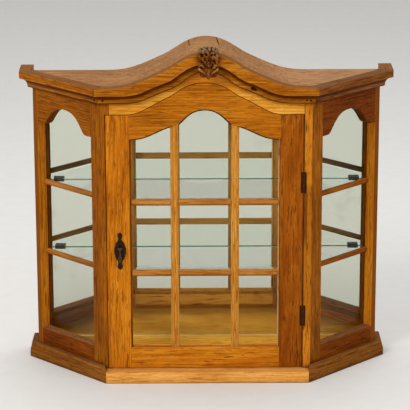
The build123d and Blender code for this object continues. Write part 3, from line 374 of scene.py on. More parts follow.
# painted shade of the gap beside the door
GAP_SHADE = (30, 12, 4)
POST_ARRIS = 0.3215                   # the line up a back post where its splayed facet ends
POST_FRONT = (X, 0.1965, 0.1945)      # the right post's front face, up to its splayed one
OUTER_FACET = tuple((X, side * (POST_ARRIS - 0.0005), side * (POST_ARRIS + 0.0007), (104, 51, 5), 0.88)
                    for side in (-1, 1))
PATCHES = {
    "post_back_left": OUTER_FACET,
    "post_back_right": OUTER_FACET,
    # golden, most of all at its ends, with painted shade along its edge beside the door,
    # where the real gap is wider and uneven
    "post_front_right": (
        (*POST_FRONT, (206, 128, 34), 0.36),
        (*POST_FRONT, (236, 146, 36), 0.38, (Z, 0.375, 0.390)),
        (*POST_FRONT, (236, 146, 38), 0.42, (Z, 0.110, 0.095)),
        (X, 0.1885, 0.1865, (112, 58, 12), 0.85, (Z, 0.375, 0.365), (Z, 0.255, 0.285)),
        (X, 0.1822, 0.1812, GAP_SHADE, 0.80)),
    # darker toward its foot, with painted shade of the gap at its outer edge and a painted
    # highlight on the lip beside the glass
    "door_stile_right": (
        (Z, 0.300, 0.170, (108, 46, 4), 0.30),
        (X, 0.1780, 0.1789, GAP_SHADE, 0.80),
        (X, 0.1354, 0.1346, (252, 208, 142), 0.72)),
    # dark in both wings, with a painted shadow of the door's bottom rail behind the door and a
    # pale line along the mirror's foot
    "base_board": (
        (X, -0.185, -0.225, (106, 66, 12), 0.72),
        (X, 0.190, 0.235, (116, 74, 14), 0.25),
        (Y, FRONT_Y + 0.110, FRONT_Y + 0.030, (112, 76, 24), 0.52),
        (Y, 0.0930, 0.0985, (244, 204, 130), 0.55)),
    # darker and redder toward its top: painted shade under the cornice's fillet
    "frieze_rail": ((Z, 0.550, 0.585, (196, 104, 14), 0.65),),
    # darker toward the front post
    "side_bar_lower_left": ((Y, 0.045, 0.000, (92, 44, 8), 0.55),),
    "side_bar_upper_left": ((Y, 0.045, 0.000, (112, 64, 14), 0.35),),
    # paler on the right
    "roof_board": ((X, 0.090, 0.210, (204, 164, 128), 0.30),),
}
print("pieces with local tones:", len(PATCHES))

# %% [markdown]
# ### Small marks
# The lip round the door's glass is set back from its face, shaded under the arch and on
# the left. Two cracks run into the roof board from behind. The fillet under the cornice
# has the small holes of the nails that pinned it to the case, and a double knot.
# %% lips, cracks and nail holes
LIPS = {"door_rail_top": ((46, 17, 4), 0.92), "door_stile_left": ((84, 42, 8), 0.60)}
CRACKS = {"roof_board": (((-0.0315, 0.0460), (-0.0335, 0.1115), 0.0011),     # start and end in plan, width
                         ((0.0250, 0.0280), (0.0190, 0.1115), 0.0012))}
NAIL_Y = FRONT_Y - 0.009              # the fillet's face
NAILS = [(-0.2067, FRONT_Y - 0.0018, 0.5478, 0.0030), (-0.1915, NAIL_Y, 0.5483, 0.0030),
         (0.0850, NAIL_Y, 0.5712, 0.0056), (0.0896, NAIL_Y, 0.5686, 0.0036),
         (0.1840, NAIL_Y, 0.5476, 0.0024), (0.1912, NAIL_Y, 0.5476, 0.0026)]     # x, y, z, radius


def patch_mask(r, where, axis, start, full, strength=1.0):
    """Rises from 0 at start to strength at full, along one axis of the object."""
    low, high = sorted((start, full))
    amount = r.step(r.split(where)[axis], low, high)
    if start > full:
        amount = r.inverse(amount)
    return r.math("MULTIPLY", amount, strength)


def crack_mask(r, where, start, end, width):
    """1 along a thin ragged line in plan, from start to end."""
    (x0, y0), (x1, y1) = start, end
    x, y, _ = r.split(where)
    ragged = r.math("MULTIPLY", r.math("SUBTRACT", r.noise(where, 160.0), 0.5), 0.004)
    slope = (x1 - x0) / (y1 - y0)
    line = r.math("ADD", r.math("MULTIPLY", r.math("SUBTRACT", y, y0), slope), x0)
    away = r.math("ABSOLUTE", r.math("SUBTRACT", r.math("ADD", x, ragged), line))
    near = r.inverse(r.step(away, width * 0.5, width))
    return r.math("MULTIPLY", near, r.step(y, y0, y0 + 0.02))


print("small marks:", len(LIPS) + len(CRACKS["roof_board"]) + len(NAILS))


# %% [markdown]
# ### The recipe
# The colour is built in layers, as the real surface was, with painted light and shade among
# them: wood and stain first, then what faded or darkened it, then dust, open pores, rubbed
# arrises, grime with painted shade in the corners, painted shade under faces that look down,
# and marks. Roughness follows the fibres and the dust, and the pores are sunk with a bump.
# %% the layers of the oak recipe
RING_SHARE, FIBRE_SHARE, STREAK_SHARE, CLOUD_SHARE = 0.14, 0.38, 0.42, 0.62
BARE_STRENGTH, LEDGE_BLUR = 0.80, 0.0008


def paleness(r, figure):
    """How pale the wood is: rings, fibres and streaks add up, and slow clouds shift them."""
    body = r.math("MULTIPLY", figure["Rings"], RING_SHARE)
    for value, share in ((figure["Fibre"], FIBRE_SHARE), (figure["Streaks"], STREAK_SHARE),
                         (r.math("SUBTRACT", figure["Cloud"], 0.5), CLOUD_SHARE)):
        body = r.math("ADD", body, r.math("MULTIPLY", value, share))
    return body


def looks_back(r):
    """How far a face looks to the back: 1 straight back, -1 straight forward."""
    return r.split(r.add("ShaderNodeTexCoord").outputs["Normal"])[Y]


def bare_and_lit_inside(r, where, node, colour):
    """Bare wood on the faces that look inwards, painted lighter for the light inside the case; on the door's
    bottom rail, painted light above a ledge line and painted shade below it.
    """
    bare = BARE_AND_LIT_AT.get(node, BARE_AND_LIT)
    if node == "door_rail_bottom":
        bare = r.mix(patch_mask(r, where, Z, LEDGE_Z, LEDGE_Z + LEDGE_BLUR), RAIL_SHADED, RAIL_LIT)
    return r.mix(r.math("MULTIPLY", r.step(looks_back(r), 0.3, 0.8), BARE_STRENGTH), colour, bare)


def local_tones(r, where, node, colour):
    """The piece's own patches."""
    for axis, start, full, tint, strength, *limits in PATCHES.get(node, ()):
        mask = patch_mask(r, where, axis, start, full, strength)
        for limit in limits:
            mask = r.math("MULTIPLY", mask, patch_mask(r, where, *limit))
        colour = r.mix(mask, colour, screen(*tint))
    return colour


def small_marks(r, where, node, colour):
    """The shaded lip, the cracks and the nail holes, where the piece has them."""
    if node in LIPS:
        tint, strength = LIPS[node]
        outward = r.step(r.math("MULTIPLY", looks_back(r), -1.0), 0.5, 0.9)
        set_back = patch_mask(r, where, Y, FRONT_Y + 0.002, FRONT_Y + 0.004, strength)
        colour = r.mix(r.math("MULTIPLY", outward, set_back), colour, screen(*tint))
    for start, end, width in CRACKS.get(node, ()):
        colour = r.mix(crack_mask(r, where, start, end, width), colour, GRIME_AND_SHADE)
    for x, y, z, radius in NAILS if node.startswith("cornice") else ():
        away = r.vector("DISTANCE", where, (x, y, z))
        colour = r.mix(r.inverse(r.step(away, radius * 0.55, radius)), colour, GRIME_AND_SHADE)
    return colour


print("oak layers ready")

# %% [markdown]
# With the layers at hand, the recipe itself is short. The mouldings of the cornice were
# never wiped, so their edge sizes are larger, their dust is browner and a dark rim runs along
# the dusty arrises. Their corner size is larger too, which widens the grime and painted
# shade in their corners.
# %% the oak recipe
BOARD_WEAR, MOULDING_WEAR = (0.0016, 0.009), (0.0030, 0.0120)     # edge size, corner size
STAIN_STOPS = (0.18, 0.45, 0.72)      # how pale the wood is where each stain colour lies
RAY_PALE, WORN_PALE = 0.30, 0.45
FLECK_DARK, PORE_DARK, CORNER_GRIME_AND_SHADE, RIM_DARK = 0.62, 0.60, 0.80, 0.85
SHADE_BELOW_MOULDING, SHADE_BELOW_BOARD = 0.85, 0.35
PORE_STRENGTH, PORE_DEPTH = 0.35, 0.0003


def oak(node, grain_way, tone, cut, dust, shine):
    """The oak of one piece. cut says where in the log it was sawn, in metres."""
    material, r, shader = blank("oak_" + node)
    where = r.here()
    board = r.add("ShaderNodeMapping", vector_type="POINT")
    r.feed(board.inputs["Vector"], where)
    r.feed(board.inputs["Rotation"], GRAIN_TURN[grain_way])
    r.feed(board.inputs["Location"], cut)
    figure_node = r.add("ShaderNodeGroup", node_tree=oak_tree)
    r.feed(figure_node.inputs["Vector"], board.outputs["Vector"])
    r.feed(figure_node.inputs["Ring Width"], WIDE_RINGS if grain_way == "across" else NARROW_RINGS)
    figure = figure_node.outputs

    moulding = node.startswith("cornice")
    neighbours = 0.0 if node in BESIDE_GLASS or "post_back" in node else 1.0
    wear = wear_on(r, where, *(MOULDING_WEAR if moulding else BOARD_WEAR), neighbours)

    stain = [screen(*c) for c in TONES[tone]]
    dark, light = stain[0], stain[-1]
    body = paleness(r, figure)
    colour = r.ramp(body, list(zip(STAIN_STOPS, stain)))
    colour = r.mix(r.math("MULTIPLY", figure["Rays"], RAY_PALE), colour, light)
    if node in BESIDE_GLASS:
        colour = bare_and_lit_inside(r, where, node, colour)
    colour = local_tones(r, where, node, colour)
    dusty = r.math("MULTIPLY", wear["Dust"], r.math("ADD", 0.70, r.math("MULTIPLY", body, 0.75)), True)
    colour = r.mix(r.math("MULTIPLY", dusty, dust), colour, WAXED_DUST if moulding else DUST)
    colour = r.mix(r.math("MULTIPLY", figure["Flecks"], FLECK_DARK, True), colour, dark)
    colour = r.mix(r.math("MULTIPLY", figure["Pores"], PORE_DARK, True), colour, dark)
    colour = r.mix(r.math("MULTIPLY", wear["Edge"], WORN_PALE), colour, light)
    # grime and painted shade in the corners
    colour = r.mix(r.math("MULTIPLY", wear["Grime And Shade"], CORNER_GRIME_AND_SHADE, True), colour, GRIME_AND_SHADE)
    # painted shade under faces that look down, deepest on the mouldings
    under = r.math("MULTIPLY", wear["Shade Below"], SHADE_BELOW_MOULDING if moulding else SHADE_BELOW_BOARD)
    colour = r.mix(under, colour, HOLLOW_SHADE if moulding else GRIME_AND_SHADE)
    if moulding:
        rim = r.math("MULTIPLY", wear["Edge"], r.step(wear["Dust"], 0.05, 0.3))
        colour = r.mix(r.math("MULTIPLY", rim, RIM_DARK), colour, RIM)
    r.feed(shader.inputs["Base Color"], small_marks(r, where, node, colour))

    rough = r.math("ADD", 0.34, r.math("MULTIPLY", figure["Fibre"], 0.16))
    r.feed(shader.inputs["Roughness"], r.math("ADD", rough, r.math("MULTIPLY", dusty, 0.32), True))
    height = r.math("SUBTRACT", r.math("MULTIPLY", figure["Fibre"], 0.35), figure["Pores"])
    r.feed(shader.inputs["Normal"], r.bump(height, PORE_STRENGTH, PORE_DEPTH))
    shader.inputs["Specular IOR Level"].default_value = shine
    shader.inputs["IOR"].default_value = WOOD_IOR
    return material


print("oak recipe ready")

# %% [markdown]
# Each wooden piece is named here with its grain, its stain and how much dust it holds.
# Stiles and posts run upright, rails run across, and the splayed pieces follow their own
# side. Every piece gets its own place in the log, so no two show the same figure.
# %% dress the wooden pieces
WOOD = {
    "plinth_front": ("across", "pale", 0.2), "plinth_left": ("splay_left", "plinth", 0.2),
    "plinth_right": ("splay_right", "plinth", 0.15), "plinth_return_left": ("depth", "plinth", 0.2),
    "plinth_return_right": ("depth", "plinth", 0.2), "post_front_left": ("upright", "post", 0.2),
    "post_front_right": ("upright", "post", 0.2), "post_back_left": ("upright", "back_post", 0.2),
    "post_back_right": ("upright", "back_post", 0.2),
    "side_rail_bottom_left": ("splay_left", "russet", 0.4),
    "side_rail_bottom_right": ("splay_right", "russet", 0.4),
    # the right side's top rail and bars take darker stains than the left's: painted shade on the side turned
    # from the light
    "side_rail_top_left": ("splay_left", "post", 0.3),
    "side_rail_top_right": ("splay_right", "umber", 0.3), "side_bar_upper_left": ("splay_left", "bar", 0.3),
    "side_bar_upper_right": ("splay_right", "amber", 0.3), "side_bar_lower_left": ("splay_left", "bar", 0.3),
    "side_bar_lower_right": ("splay_right", "amber", 0.3), "side_beads": ("upright", "russet", 0.2),
    "base_rail_front": ("across", "golden", 0.2), "base_rail_back": ("across", "golden", 0.2),
    "base_board": ("across", "inside", 0.05), "frieze_rail": ("across", "golden", 0.2),
    "cornice_front": ("across", "fascia", 0.85), "cornice_left": ("splay_left", "fascia_left", 0.85),
    "cornice_right": ("splay_right", "fascia_right_shaded", 0.85), "cornice_return_left": ("depth", "fascia", 0.85),
    "cornice_return_right": ("depth", "fascia", 0.85), "roof_board": ("across", "roof", 0.48),
    "back_panel": ("across", "panel", 0.2), "door_stile_left": ("upright", "honey", 0.2),
    "door_stile_right": ("upright", "amber", 0.2), "door_rail_top": ("across", "glow", 0.2),
    "door_rail_bottom": ("across", "honey", 0.2), "door_bar_left": ("upright", "bar_upright", 0.2),
    "door_bar_right": ("upright", "bar_upright", 0.2), "door_bars_upper": ("across", "bar", 0.25),
    "door_bars_lower": ("across", "bar", 0.25), "door_beads": ("upright", "honey", 0.2),
}
WAX_SHINE = 0.3
POLISHED = {"base_board": 1.0, "door_rail_top": 0.5, "frieze_rail": 0.5}


def dress(node, material):
    """Gives a frame piece one material."""
    piece = NODES[node]
    piece.data.materials.clear()
    piece.data.materials.append(material)


for index, (node, (way, tone, dust)) in enumerate(WOOD.items()):
    cut = (0.37 * index, 0.071 * ((index * 5) % 7) - 0.2, 0.053 * ((index * 3) % 5) - 0.1)
    dress(node, oak(node, way, tone, cut, dust, POLISHED.get(node, WAX_SHINE)))
print("wooden pieces dressed:", len(WOOD))

# %% [markdown]
# ## The carved crest
# Over the door sits a small block of carved oak: leaves fanned over a cluster of berries,
# two slanting bands, and a leaf that points down. It could be sculpted or displaced from a
# height map. Here each leaf is a sphere squeezed into a leaf with a vein and lobes, because
# the carver cut it leaf by leaf too, and the overlaps give the deep dark hollows for free.
# Its sizes are in millimetres from the middle of its foot.
# %% one leaf, one block, one berry
CREST_X, CREST_Z = 0.003, 0.5935
VEIN_RISE, VEIN_WIDTH, RIB_DEPTH = 0.20, 0.085, 0.05


def crest_point(x, y, z):
    """A point of the carving: x from its middle, y behind the front plane, z above its foot, in mm."""
    return Vector((CREST_X + x / 1000.0, FRONT_Y + y / 1000.0, CREST_Z + z / 1000.0))


def carved_leaf(bm, root, turn, length, width, thick, lobes, curl=0.0):
    """A veined leaf from root (mm), turned in the front's plane, with its tip curled back."""
    made = bmesh.ops.create_uvsphere(bm, u_segments=18, v_segments=14, radius=0.5)["verts"]
    for v in made:
        along = v.co.z + 0.5
        belly = 1.22 - 0.72 * along
        lobe = 1.0 + 0.17 * math.cos(2 * math.pi * lobes * along)
        vein = math.exp(-(v.co.x / VEIN_WIDTH) ** 2)
        side_rib = RIB_DEPTH * math.cos(2 * math.pi * lobes * (along - abs(v.co.x) * 0.5))
        if v.co.y < 0:
            v.co.y += VEIN_RISE * vein - side_rib
        v.co.x *= belly * lobe
        v.co.y += curl * along ** 2
        v.co.z = along
    bmesh.ops.scale(bm, vec=(width / 1000, thick / 1000, length / 1000), verts=made)
    bmesh.ops.rotate(bm, cent=(0, 0, 0), matrix=Matrix.Rotation(math.radians(90 - turn), 3, "Y"), verts=made)
    bmesh.ops.translate(bm, vec=crest_point(*root), verts=made)


def rounded_block(bm, centre, half, power):
    """A sphere squared up into a soft-cornered block. A lower power squares it more."""
    made = bmesh.ops.create_uvsphere(bm, u_segments=32, v_segments=20, radius=1.0)["verts"]
    for v in made:
        v.co = Vector([math.copysign(abs(c) ** power, c) for c in v.co])
    reach = [max(abs(v.co[i]) for v in made) for i in range(3)]
    bmesh.ops.scale(bm, vec=[h / 1000 / far for h, far in zip(half, reach)], verts=made)
    bmesh.ops.translate(bm, vec=crest_point(*centre), verts=made)


def berry(bm, centre, radius, stretch=(1.0, 1.0, 1.0)):
    """A small round berry, or a longer bud where stretch is given."""
    made = bmesh.ops.create_icosphere(bm, subdivisions=2, radius=radius / 1000)["verts"]
    bmesh.ops.scale(bm, vec=stretch, verts=made)
    bmesh.ops.translate(bm, vec=crest_point(*centre), verts=made)


print("leaf, block and berry helpers ready")

# %% [markdown]
# The ground block comes first, then six rows of small leaves set by a seeded draw, a flower
# of five petals, berries, the two bands with leaves beside them, the leaf that points down
# and a row of buds along the top.
# %% assemble the crest
LEAF_ROWS = ((54, 6), (49, 5), (43.5, 6), (37.5, 5), (31, 6), (25, 5))     # height, number of leaves
LEAF_SIZES = ((8.5, 11.5), (5.6, 7.2), (6.5, 8.5))     # least and most: length, width, thickness
ROW_LENGTH, FAN_CENTRE, LEAF_Y = 36.0, 24, -30.6
FLOWER_Z = 40.5
BERRIES = ((-6.0, 32.5, 2.1), (6.4, 31.5, 1.9), (0.6, 31.0, 2.4), (-3.4, 26.8, 2.0), (3.9, 26.2, 2.0),
           (-9.4, 25.6, 1.7), (9.0, 37.6, 1.8), (-9.6, 40.2, 1.9), (5.2, 48.6, 1.8), (-4.0, 50.4, 1.8))
BUDS = ((-16, 52.5), (-10.5, 56.0), (-3.8, 57.4), (3.8, 57.4), (10.5, 56.0), (16, 52.5))
bm = bmesh.new()
chance = random.Random(7)
rounded_block(bm, (0, -19.5, 33.5), (18.8, 9.5, 22.5), 0.50)
rounded_block(bm, (0, -25.0, 10.5), (16.2, 6.5, 8.5), 0.42)
for row_z, count in LEAF_ROWS:
    for place in range(count):
        x = (place - (count - 1) / 2) * ROW_LENGTH / count + chance.uniform(-1.2, 1.2)
        z = row_z + chance.uniform(-2.0, 2.0)
        turn = math.degrees(math.atan2(z - FAN_CENTRE, x)) + chance.uniform(-38, 38)
        if abs(x) < 4.5:
            turn = 90 + chance.uniform(-50, 50)
        if abs(x) > 10.5:
            turn = 90 - math.copysign(chance.uniform(-14, 8), x)
        root = (x, LEAF_Y - chance.uniform(0, 1.4), z - 4)
        length, width, thick = (chance.uniform(*limits) for limits in LEAF_SIZES)
        carved_leaf(bm, root, turn, length, width, thick, curl=chance.uniform(-0.25, 0.1), lobes=2)
for petal in range(5):
    carved_leaf(bm, (0, -34.0, FLOWER_Z), 18 + petal * 72, 6.0, 4.8, 4.0, curl=-0.1, lobes=1)
berry(bm, (0, -35.4, FLOWER_Z), 1.9)
for x, z, radius in BERRIES:
    berry(bm, (x, -34.6, z), radius)
for side in (-1, 1):
    berry(bm, (side * 16.6, -32.5, 49), 2.6)
    berry(bm, (side * 15.8, -33.5, 36), 2.4)
    carved_leaf(bm, (side * 17.0, -29.0, 20), 90, 17, 6.6, 8, lobes=2)
    carved_leaf(bm, (side * 17.0, -29.0, 35), 90, 17, 6.6, 8, lobes=2)
    carved_leaf(bm, (side * 18.2, -33.4, 20.6), 90 + side * 129, 17.6, 5.0, 9.0, lobes=1)
    carved_leaf(bm, (side * 9.0, -30.0, 18.0), 90 + side * 150, 12.0, 6.0, 5.0, lobes=2)
carved_leaf(bm, (0, LEAF_Y, 17.0), -90, 18.5, 11.5, 7.0, curl=0.25, lobes=1)
for x, z in BUDS:
    berry(bm, (x, -20.0, z), 4.2, (0.80, 1.9, 0.75))
bmesh.ops.recalc_face_normals(bm, faces=bm.faces[:])
for face in bm.faces:
    face.smooth = True
crest_data = bpy.data.meshes.new("carved_crest")
bm.to_mesh(crest_data)
bm.free()
carved_crest = bpy.data.objects.new("carved_crest", crest_data)
bpy.context.scene.collection.objects.link(carved_crest)
low = [round(min(v.co[i] for v in crest_data.vertices) * 1000, 1) for i in range(3)]
high = [round(max(v.co[i] for v in crest_data.vertices) * 1000, 1) for i in range(3)]
print("crest:", len(crest_data.polygons), "faces, from", low, "to", high, "mm")
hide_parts("crest_carving")
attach(carved_crest, "carcass")

# %% [markdown]
# The carving is stained darker than the case, and wax has gathered in its hollows for years,
# with painted shade laid in them too, while dusting has rubbed the high points to a pale tan.
# The wax and painted shade in the hollows come from ambient occlusion at the leaves' own size,
# the high points from the Bevel node, and a tight noise leaves the marks of the gouge. The two
# slanting bands are rubbed palest and carry a painted highlight, so they get a mask of their
# own: how far a point lies from the band's centre line.
# %% carved oak finish
CARVED_TONES = [(0.34, screen(72, 32, 5)), (0.50, screen(116, 58, 10)), (0.64, screen(170, 98, 34))]
GOUGE_CUT, CARVED_GRIME_AND_SHADE, FOOT_SHADE = screen(60, 26, 6), screen(44, 16, 3), screen(84, 38, 8)
RUBBED_POINT, RUBBED_BAND_HIGHLIGHT = screen(210, 142, 78), screen(208, 144, 82)
SETTLED_DUST, GREY_FRINGE = screen(150, 116, 70), screen(146, 132, 104)
BAND_X, BAND_Z = 0.005, CREST_Z + 0.009       # where a band's centre line starts
BAND_ACROSS, BAND_UP = 0.65, 0.763            # its slope
carved, r, shader = blank("carved_oak")
where = r.here()
x, y, z = r.split(where)
wear = wear_on(r, where, edge_size=0.0012, corner_size=0.0045, neighbours=0.0)
gouge = r.noise(r.vector("MULTIPLY", where, (1.0, 1.0, 0.6)), 620.0, 2.0, 0.6)
colour = r.ramp(r.noise(where, 150.0, 3.0, 0.65), CARVED_TONES)
colour = r.mix(r.math("MULTIPLY", r.step(gouge, 0.56, 0.70), 0.5), colour, GOUGE_CUT)
colour = r.mix(r.math("MULTIPLY", wear["Edge"], 0.70), colour, RUBBED_POINT)
colour = r.mix(r.math("MULTIPLY", wear["Dust"], 0.42, True), colour, SETTLED_DUST)
foot = r.inverse(r.step(z, CREST_Z + 0.012, CREST_Z + 0.022))
colour = r.mix(r.math("MULTIPLY", foot, 0.60), colour, FOOT_SHADE)
out = r.math("ABSOLUTE", r.math("SUBTRACT", x, CREST_X))
across = r.math("MULTIPLY", r.math("SUBTRACT", out, BAND_X), BAND_ACROSS)
off_band = r.math("SUBTRACT", r.math("MULTIPLY", r.math("SUBTRACT", z, BAND_Z), BAND_UP), across)
band = r.inverse(r.step(r.math("ABSOLUTE", off_band), 0.0009, 0.0021))
band = r.math("MULTIPLY", band, r.step(out, 0.0045, 0.0065))
band = r.math("MULTIPLY", band, r.inverse(r.step(y, FRONT_Y - 0.0345, FRONT_Y - 0.0325)))
# the slanting bands: rubbed pale, with a painted highlight along the centre line
colour = r.mix(r.math("MULTIPLY", band, 0.75), colour, RUBBED_BAND_HIGHLIGHT)
fringe = r.step(z, CREST_Z + 0.047, CREST_Z + 0.055)
colour = r.mix(r.math("MULTIPLY", fringe, 0.55), colour, GREY_FRINGE)
# wax and painted shade in the hollows
colour = r.mix(r.math("MULTIPLY", wear["Grime And Shade"], 0.95, True), colour, CARVED_GRIME_AND_SHADE)
r.feed(shader.inputs["Base Color"], colour)
r.feed(shader.inputs["Roughness"], r.math("ADD", 0.38, r.math("MULTIPLY", gouge, 0.25)))
r.feed(shader.inputs["Normal"], r.bump(gouge, 0.6, 0.0006))
shader.inputs["Specular IOR Level"].default_value = WAX_SHINE
shader.inputs["IOR"].default_value = WOOD_IOR
crest_data.materials.append(carved)
print("crest dressed")

# %% [markdown]
# ## Glass and mirror
# Float glass is nearly colourless face on, and green through its edge, because light then
# crosses a great depth of it. The edges are found from the normal, so a shelf's rim turns
# teal while its top stays clear. Faint wipe marks break up the gloss. A light ray on its
# way to the inside is let straight through, as real light is, so the case isn't dark inside.
# %% clear glass
GLASS_TINT = screen(251, 253, 252)
EDGE_TINT = screen(3, 84, 62)
LET_THROUGH = screen(249, 252, 250)
PANE_IOR, SHELF_IOR = 1.13, 1.28      # low, so that pale surroundings don't veil the inside
SHELF_BACK = max(v.co.y for v in NODES["shelf_upper"].data.vertices)
RIM_GLOW = 0.0034                     # how far the rim's green shows through the top face


def shelf_rim(r, where):
    """1 on a shelf's rim, and on the strip beside it where its green shows through the top."""
    up = r.split(r.add("ShaderNodeNewGeometry").outputs["True Normal"])[Z]
    depth = r.split(where)[Y]
    rim = r.inverse(r.step(r.math("ABSOLUTE", up), 0.2, 0.5))
    rim = r.math("MULTIPLY", rim, r.step(depth, FRONT_Y + 0.03, FRONT_Y + 0.06))
    return r.math("MAXIMUM", rim, r.step(depth, SHELF_BACK - RIM_GLOW * 1.3, SHELF_BACK - RIM_GLOW))


def clear_glass(name, is_shelf):
    """Clear glass, with a green rim on a shelf."""
    material, r, shader = blank(name)
    where = r.here()
    wipes = r.noise(r.vector("MULTIPLY", where, (9.0, 9.0, 26.0)), 1.0, 3.0, 0.6, 1.2)
    rough = r.math("MULTIPLY", r.step(wipes, 0.48, 0.8), 0.05)
    shader.inputs["Base Color"].default_value = GLASS_TINT
    if is_shelf:
        rim = shelf_rim(r, where)
        r.feed(shader.inputs["Base Color"], r.mix(rim, GLASS_TINT, EDGE_TINT))
        rough = r.math("ADD", rough, r.math("MULTIPLY", rim, 0.45))
    r.feed(shader.inputs["Roughness"], rough)
    shader.inputs["Transmission Weight"].default_value = 1.0
    shader.inputs["IOR"].default_value = SHELF_IOR if is_shelf else PANE_IOR
    through = r.add("ShaderNodeBsdfTransparent")
    through.inputs["Color"].default_value = LET_THROUGH
    path = r.add("ShaderNodeLightPath").outputs
    soft_ray = r.math("MAXIMUM", path["Is Shadow Ray"], path["Is Diffuse Ray"])
    straight = r.math("MAXIMUM", soft_ray, path["Is Reflection Ray"])
    surface = r.either(straight, shader.outputs[0], through.outputs[0])
    r.feed(material.node_tree.nodes["Material Output"].inputs["Surface"], surface)
    return material


PANES, SHELVES = ("door_glass", "side_glass_left", "side_glass_right"), ("shelf_upper", "shelf_lower")
pane = clear_glass("pane_glass", False)
shelf_glass = clear_glass("shelf_glass", True)
for node in PANES:
    dress(node, pane)
for node in SHELVES:
    dress(node, shelf_glass)
print("glass pieces dressed:", len(PANES + SHELVES))

# %% [markdown]
# An old mirror is silver with a slight warmth. Its foxing, a little clouding near the
# edges, comes from noise in its roughness and colour. Light that bounces off wood and on
# to the mirror would need a great many rays to find its way out again, so for those rays
# alone the mirror is plain white, which lights the backs of the bars as a real one does.
# %% the mirror
SILVER, FOXED, THROWN_BACK = screen(216, 213, 203), screen(190, 183, 166), screen(226, 224, 216)
silver, r, shader = blank("mirror_silver")
bloom = r.noise(r.here(), 7.0, 4.0, 0.65)
r.feed(shader.inputs["Base Color"], r.mix(r.step(bloom, 0.55, 0.8), SILVER, FOXED))
r.feed(shader.inputs["Roughness"], r.math("MULTIPLY", r.step(bloom, 0.5, 0.85), 0.06))
shader.inputs["Metallic"].default_value = 1.0
thrown = r.add("ShaderNodeBsdfDiffuse")
thrown.inputs["Color"].default_value = THROWN_BACK
soft_ray = r.add("ShaderNodeLightPath").outputs["Is Diffuse Ray"]
surface = r.either(soft_ray, shader.outputs[0], thrown.outputs[0])
r.feed(silver.node_tree.nodes["Material Output"].inputs["Surface"], surface)
dress("mirror", silver)
print("mirror dressed")


# %% [markdown]
# ## Metal
# The handle and hinges are dark bronze-brown iron. Handling polishes the high spots back to
# bare metal and leaves the hollows nearly black, so the same wear group is used with a
# smaller size.
# %% the metal pieces
def lighter(colour, times):
    """A screen colour with each value raised, as linear RGBA."""
    return screen(*(int(c * times) for c in colour))


def dark_metal(name, base, rubbed, metallic, rough, worn_width=0.0007):
    """Dark metal with rubbed edges. base and rubbed are screen colours."""
    material, r, shader = blank(name)
    where = r.here()
    wear = wear_on(r, where, worn_width, 0.003)
    spots = r.noise(where, 420.0, 3.0, 0.6)
    colour = r.mix(r.step(spots, 0.35, 0.75), screen(*base), lighter(base, 1.5))
    colour = r.mix(r.math("MULTIPLY", wear["Edge"], 0.8), colour, screen(*rubbed))
    colour = r.mix(r.math("MULTIPLY", wear["Grime And Shade"], 0.6, True), colour, screen(12, 8, 5))
    r.feed(shader.inputs["Base Color"], colour)
    r.feed(shader.inputs["Roughness"], r.math("ADD", rough, r.math("MULTIPLY", spots, 0.2)))
    shader.inputs["Metallic"].default_value = metallic
    r.feed(shader.inputs["Normal"], r.bump(spots, 0.25, 0.0002))
    return material


bronze = dark_metal("dark_bronze", (36, 23, 10), (150, 120, 78), 0.85, 0.30, 0.0012)
polished_bronze = dark_metal("polished_bronze", (62, 48, 30), (214, 190, 144), 0.95, 0.14, 0.0010)
iron = dark_metal("hinge_iron", (50, 26, 11), (130, 92, 60), 0.85, 0.24)
steel = dark_metal("screw_steel", (92, 80, 66), (160, 148, 130), 0.9, 0.30)
METALS = {
    "handle_plate": bronze, "handle_pin": bronze, "handle_drop": polished_bronze,
    "hinge_leaf_post_lower": iron, "hinge_leaf_post_upper": iron, "hinge_leaf_door_lower": iron,
    "hinge_leaf_door_upper": iron, "hinge_pins": iron,
    "hinge_screws_post": steel, "hinge_screws_door": steel, "catch_plate": steel, "shelf_pegs": steel,
}
for node, metal in METALS.items():
    dress(node, metal)
print("metal pieces dressed:", len(METALS))


# %% [markdown]
# The small clips and the catch are moulded plastic: dark brown, with a fine grain that
# keeps them from shining like glass.
# %% moulded plastic
def moulded(name, base, rough):
    """Moulded plastic with a fine grain. base is a screen colour."""
    material, r, shader = blank(name)
    where = r.here()
    texture = r.noise(where, 1600.0, 2.0, 0.6)
    r.feed(shader.inputs["Base Color"], r.mix(r.noise(where, 160.0), screen(*base), lighter(base, 1.35)))
    r.feed(shader.inputs["Roughness"], r.math("ADD", rough, r.math("MULTIPLY", texture, 0.2)))
    r.feed(shader.inputs["Normal"], r.bump(texture, 0.2, 0.0001))
    return material


dress("shelf_clips", moulded("clip_plastic", (30, 22, 16), 0.4))
dress("catch_magnet", moulded("catch_plastic", (96, 58, 30), 0.45))
print("plastic pieces dressed: clips and catch")

# %% [markdown]
# ## Softened arrises
# Planed wood never keeps a razor edge. The frame's pieces are exact, so their edges are
# eased with live modifiers: Weld joins the triangles, and Bevel rounds every edge sharper
# than 32 degrees by 0.6 mm. The meshes themselves stay as they are. Thin strips and boards
# whose edges are hidden keep theirs.
# %% ease the wooden edges
EASE_WIDTH, EASE_ANGLE, WELD_REACH = 0.0006, math.radians(32), 0.00001
HIDDEN_EDGES = ("base_board", "back_panel", "side_beads", "door_beads", "base_rail_back")
eased = [node for node in WOOD if node not in HIDDEN_EDGES]
for node in eased:
    weld = NODES[node].modifiers.new("join", "WELD")
    weld.merge_threshold = WELD_REACH
    bevel = NODES[node].modifiers.new("ease", "BEVEL")
    bevel.width = EASE_WIDTH
    bevel.segments = 2
    bevel.limit_method = "ANGLE"
    bevel.angle_limit = EASE_ANGLE
print("eased pieces:", len(eased))

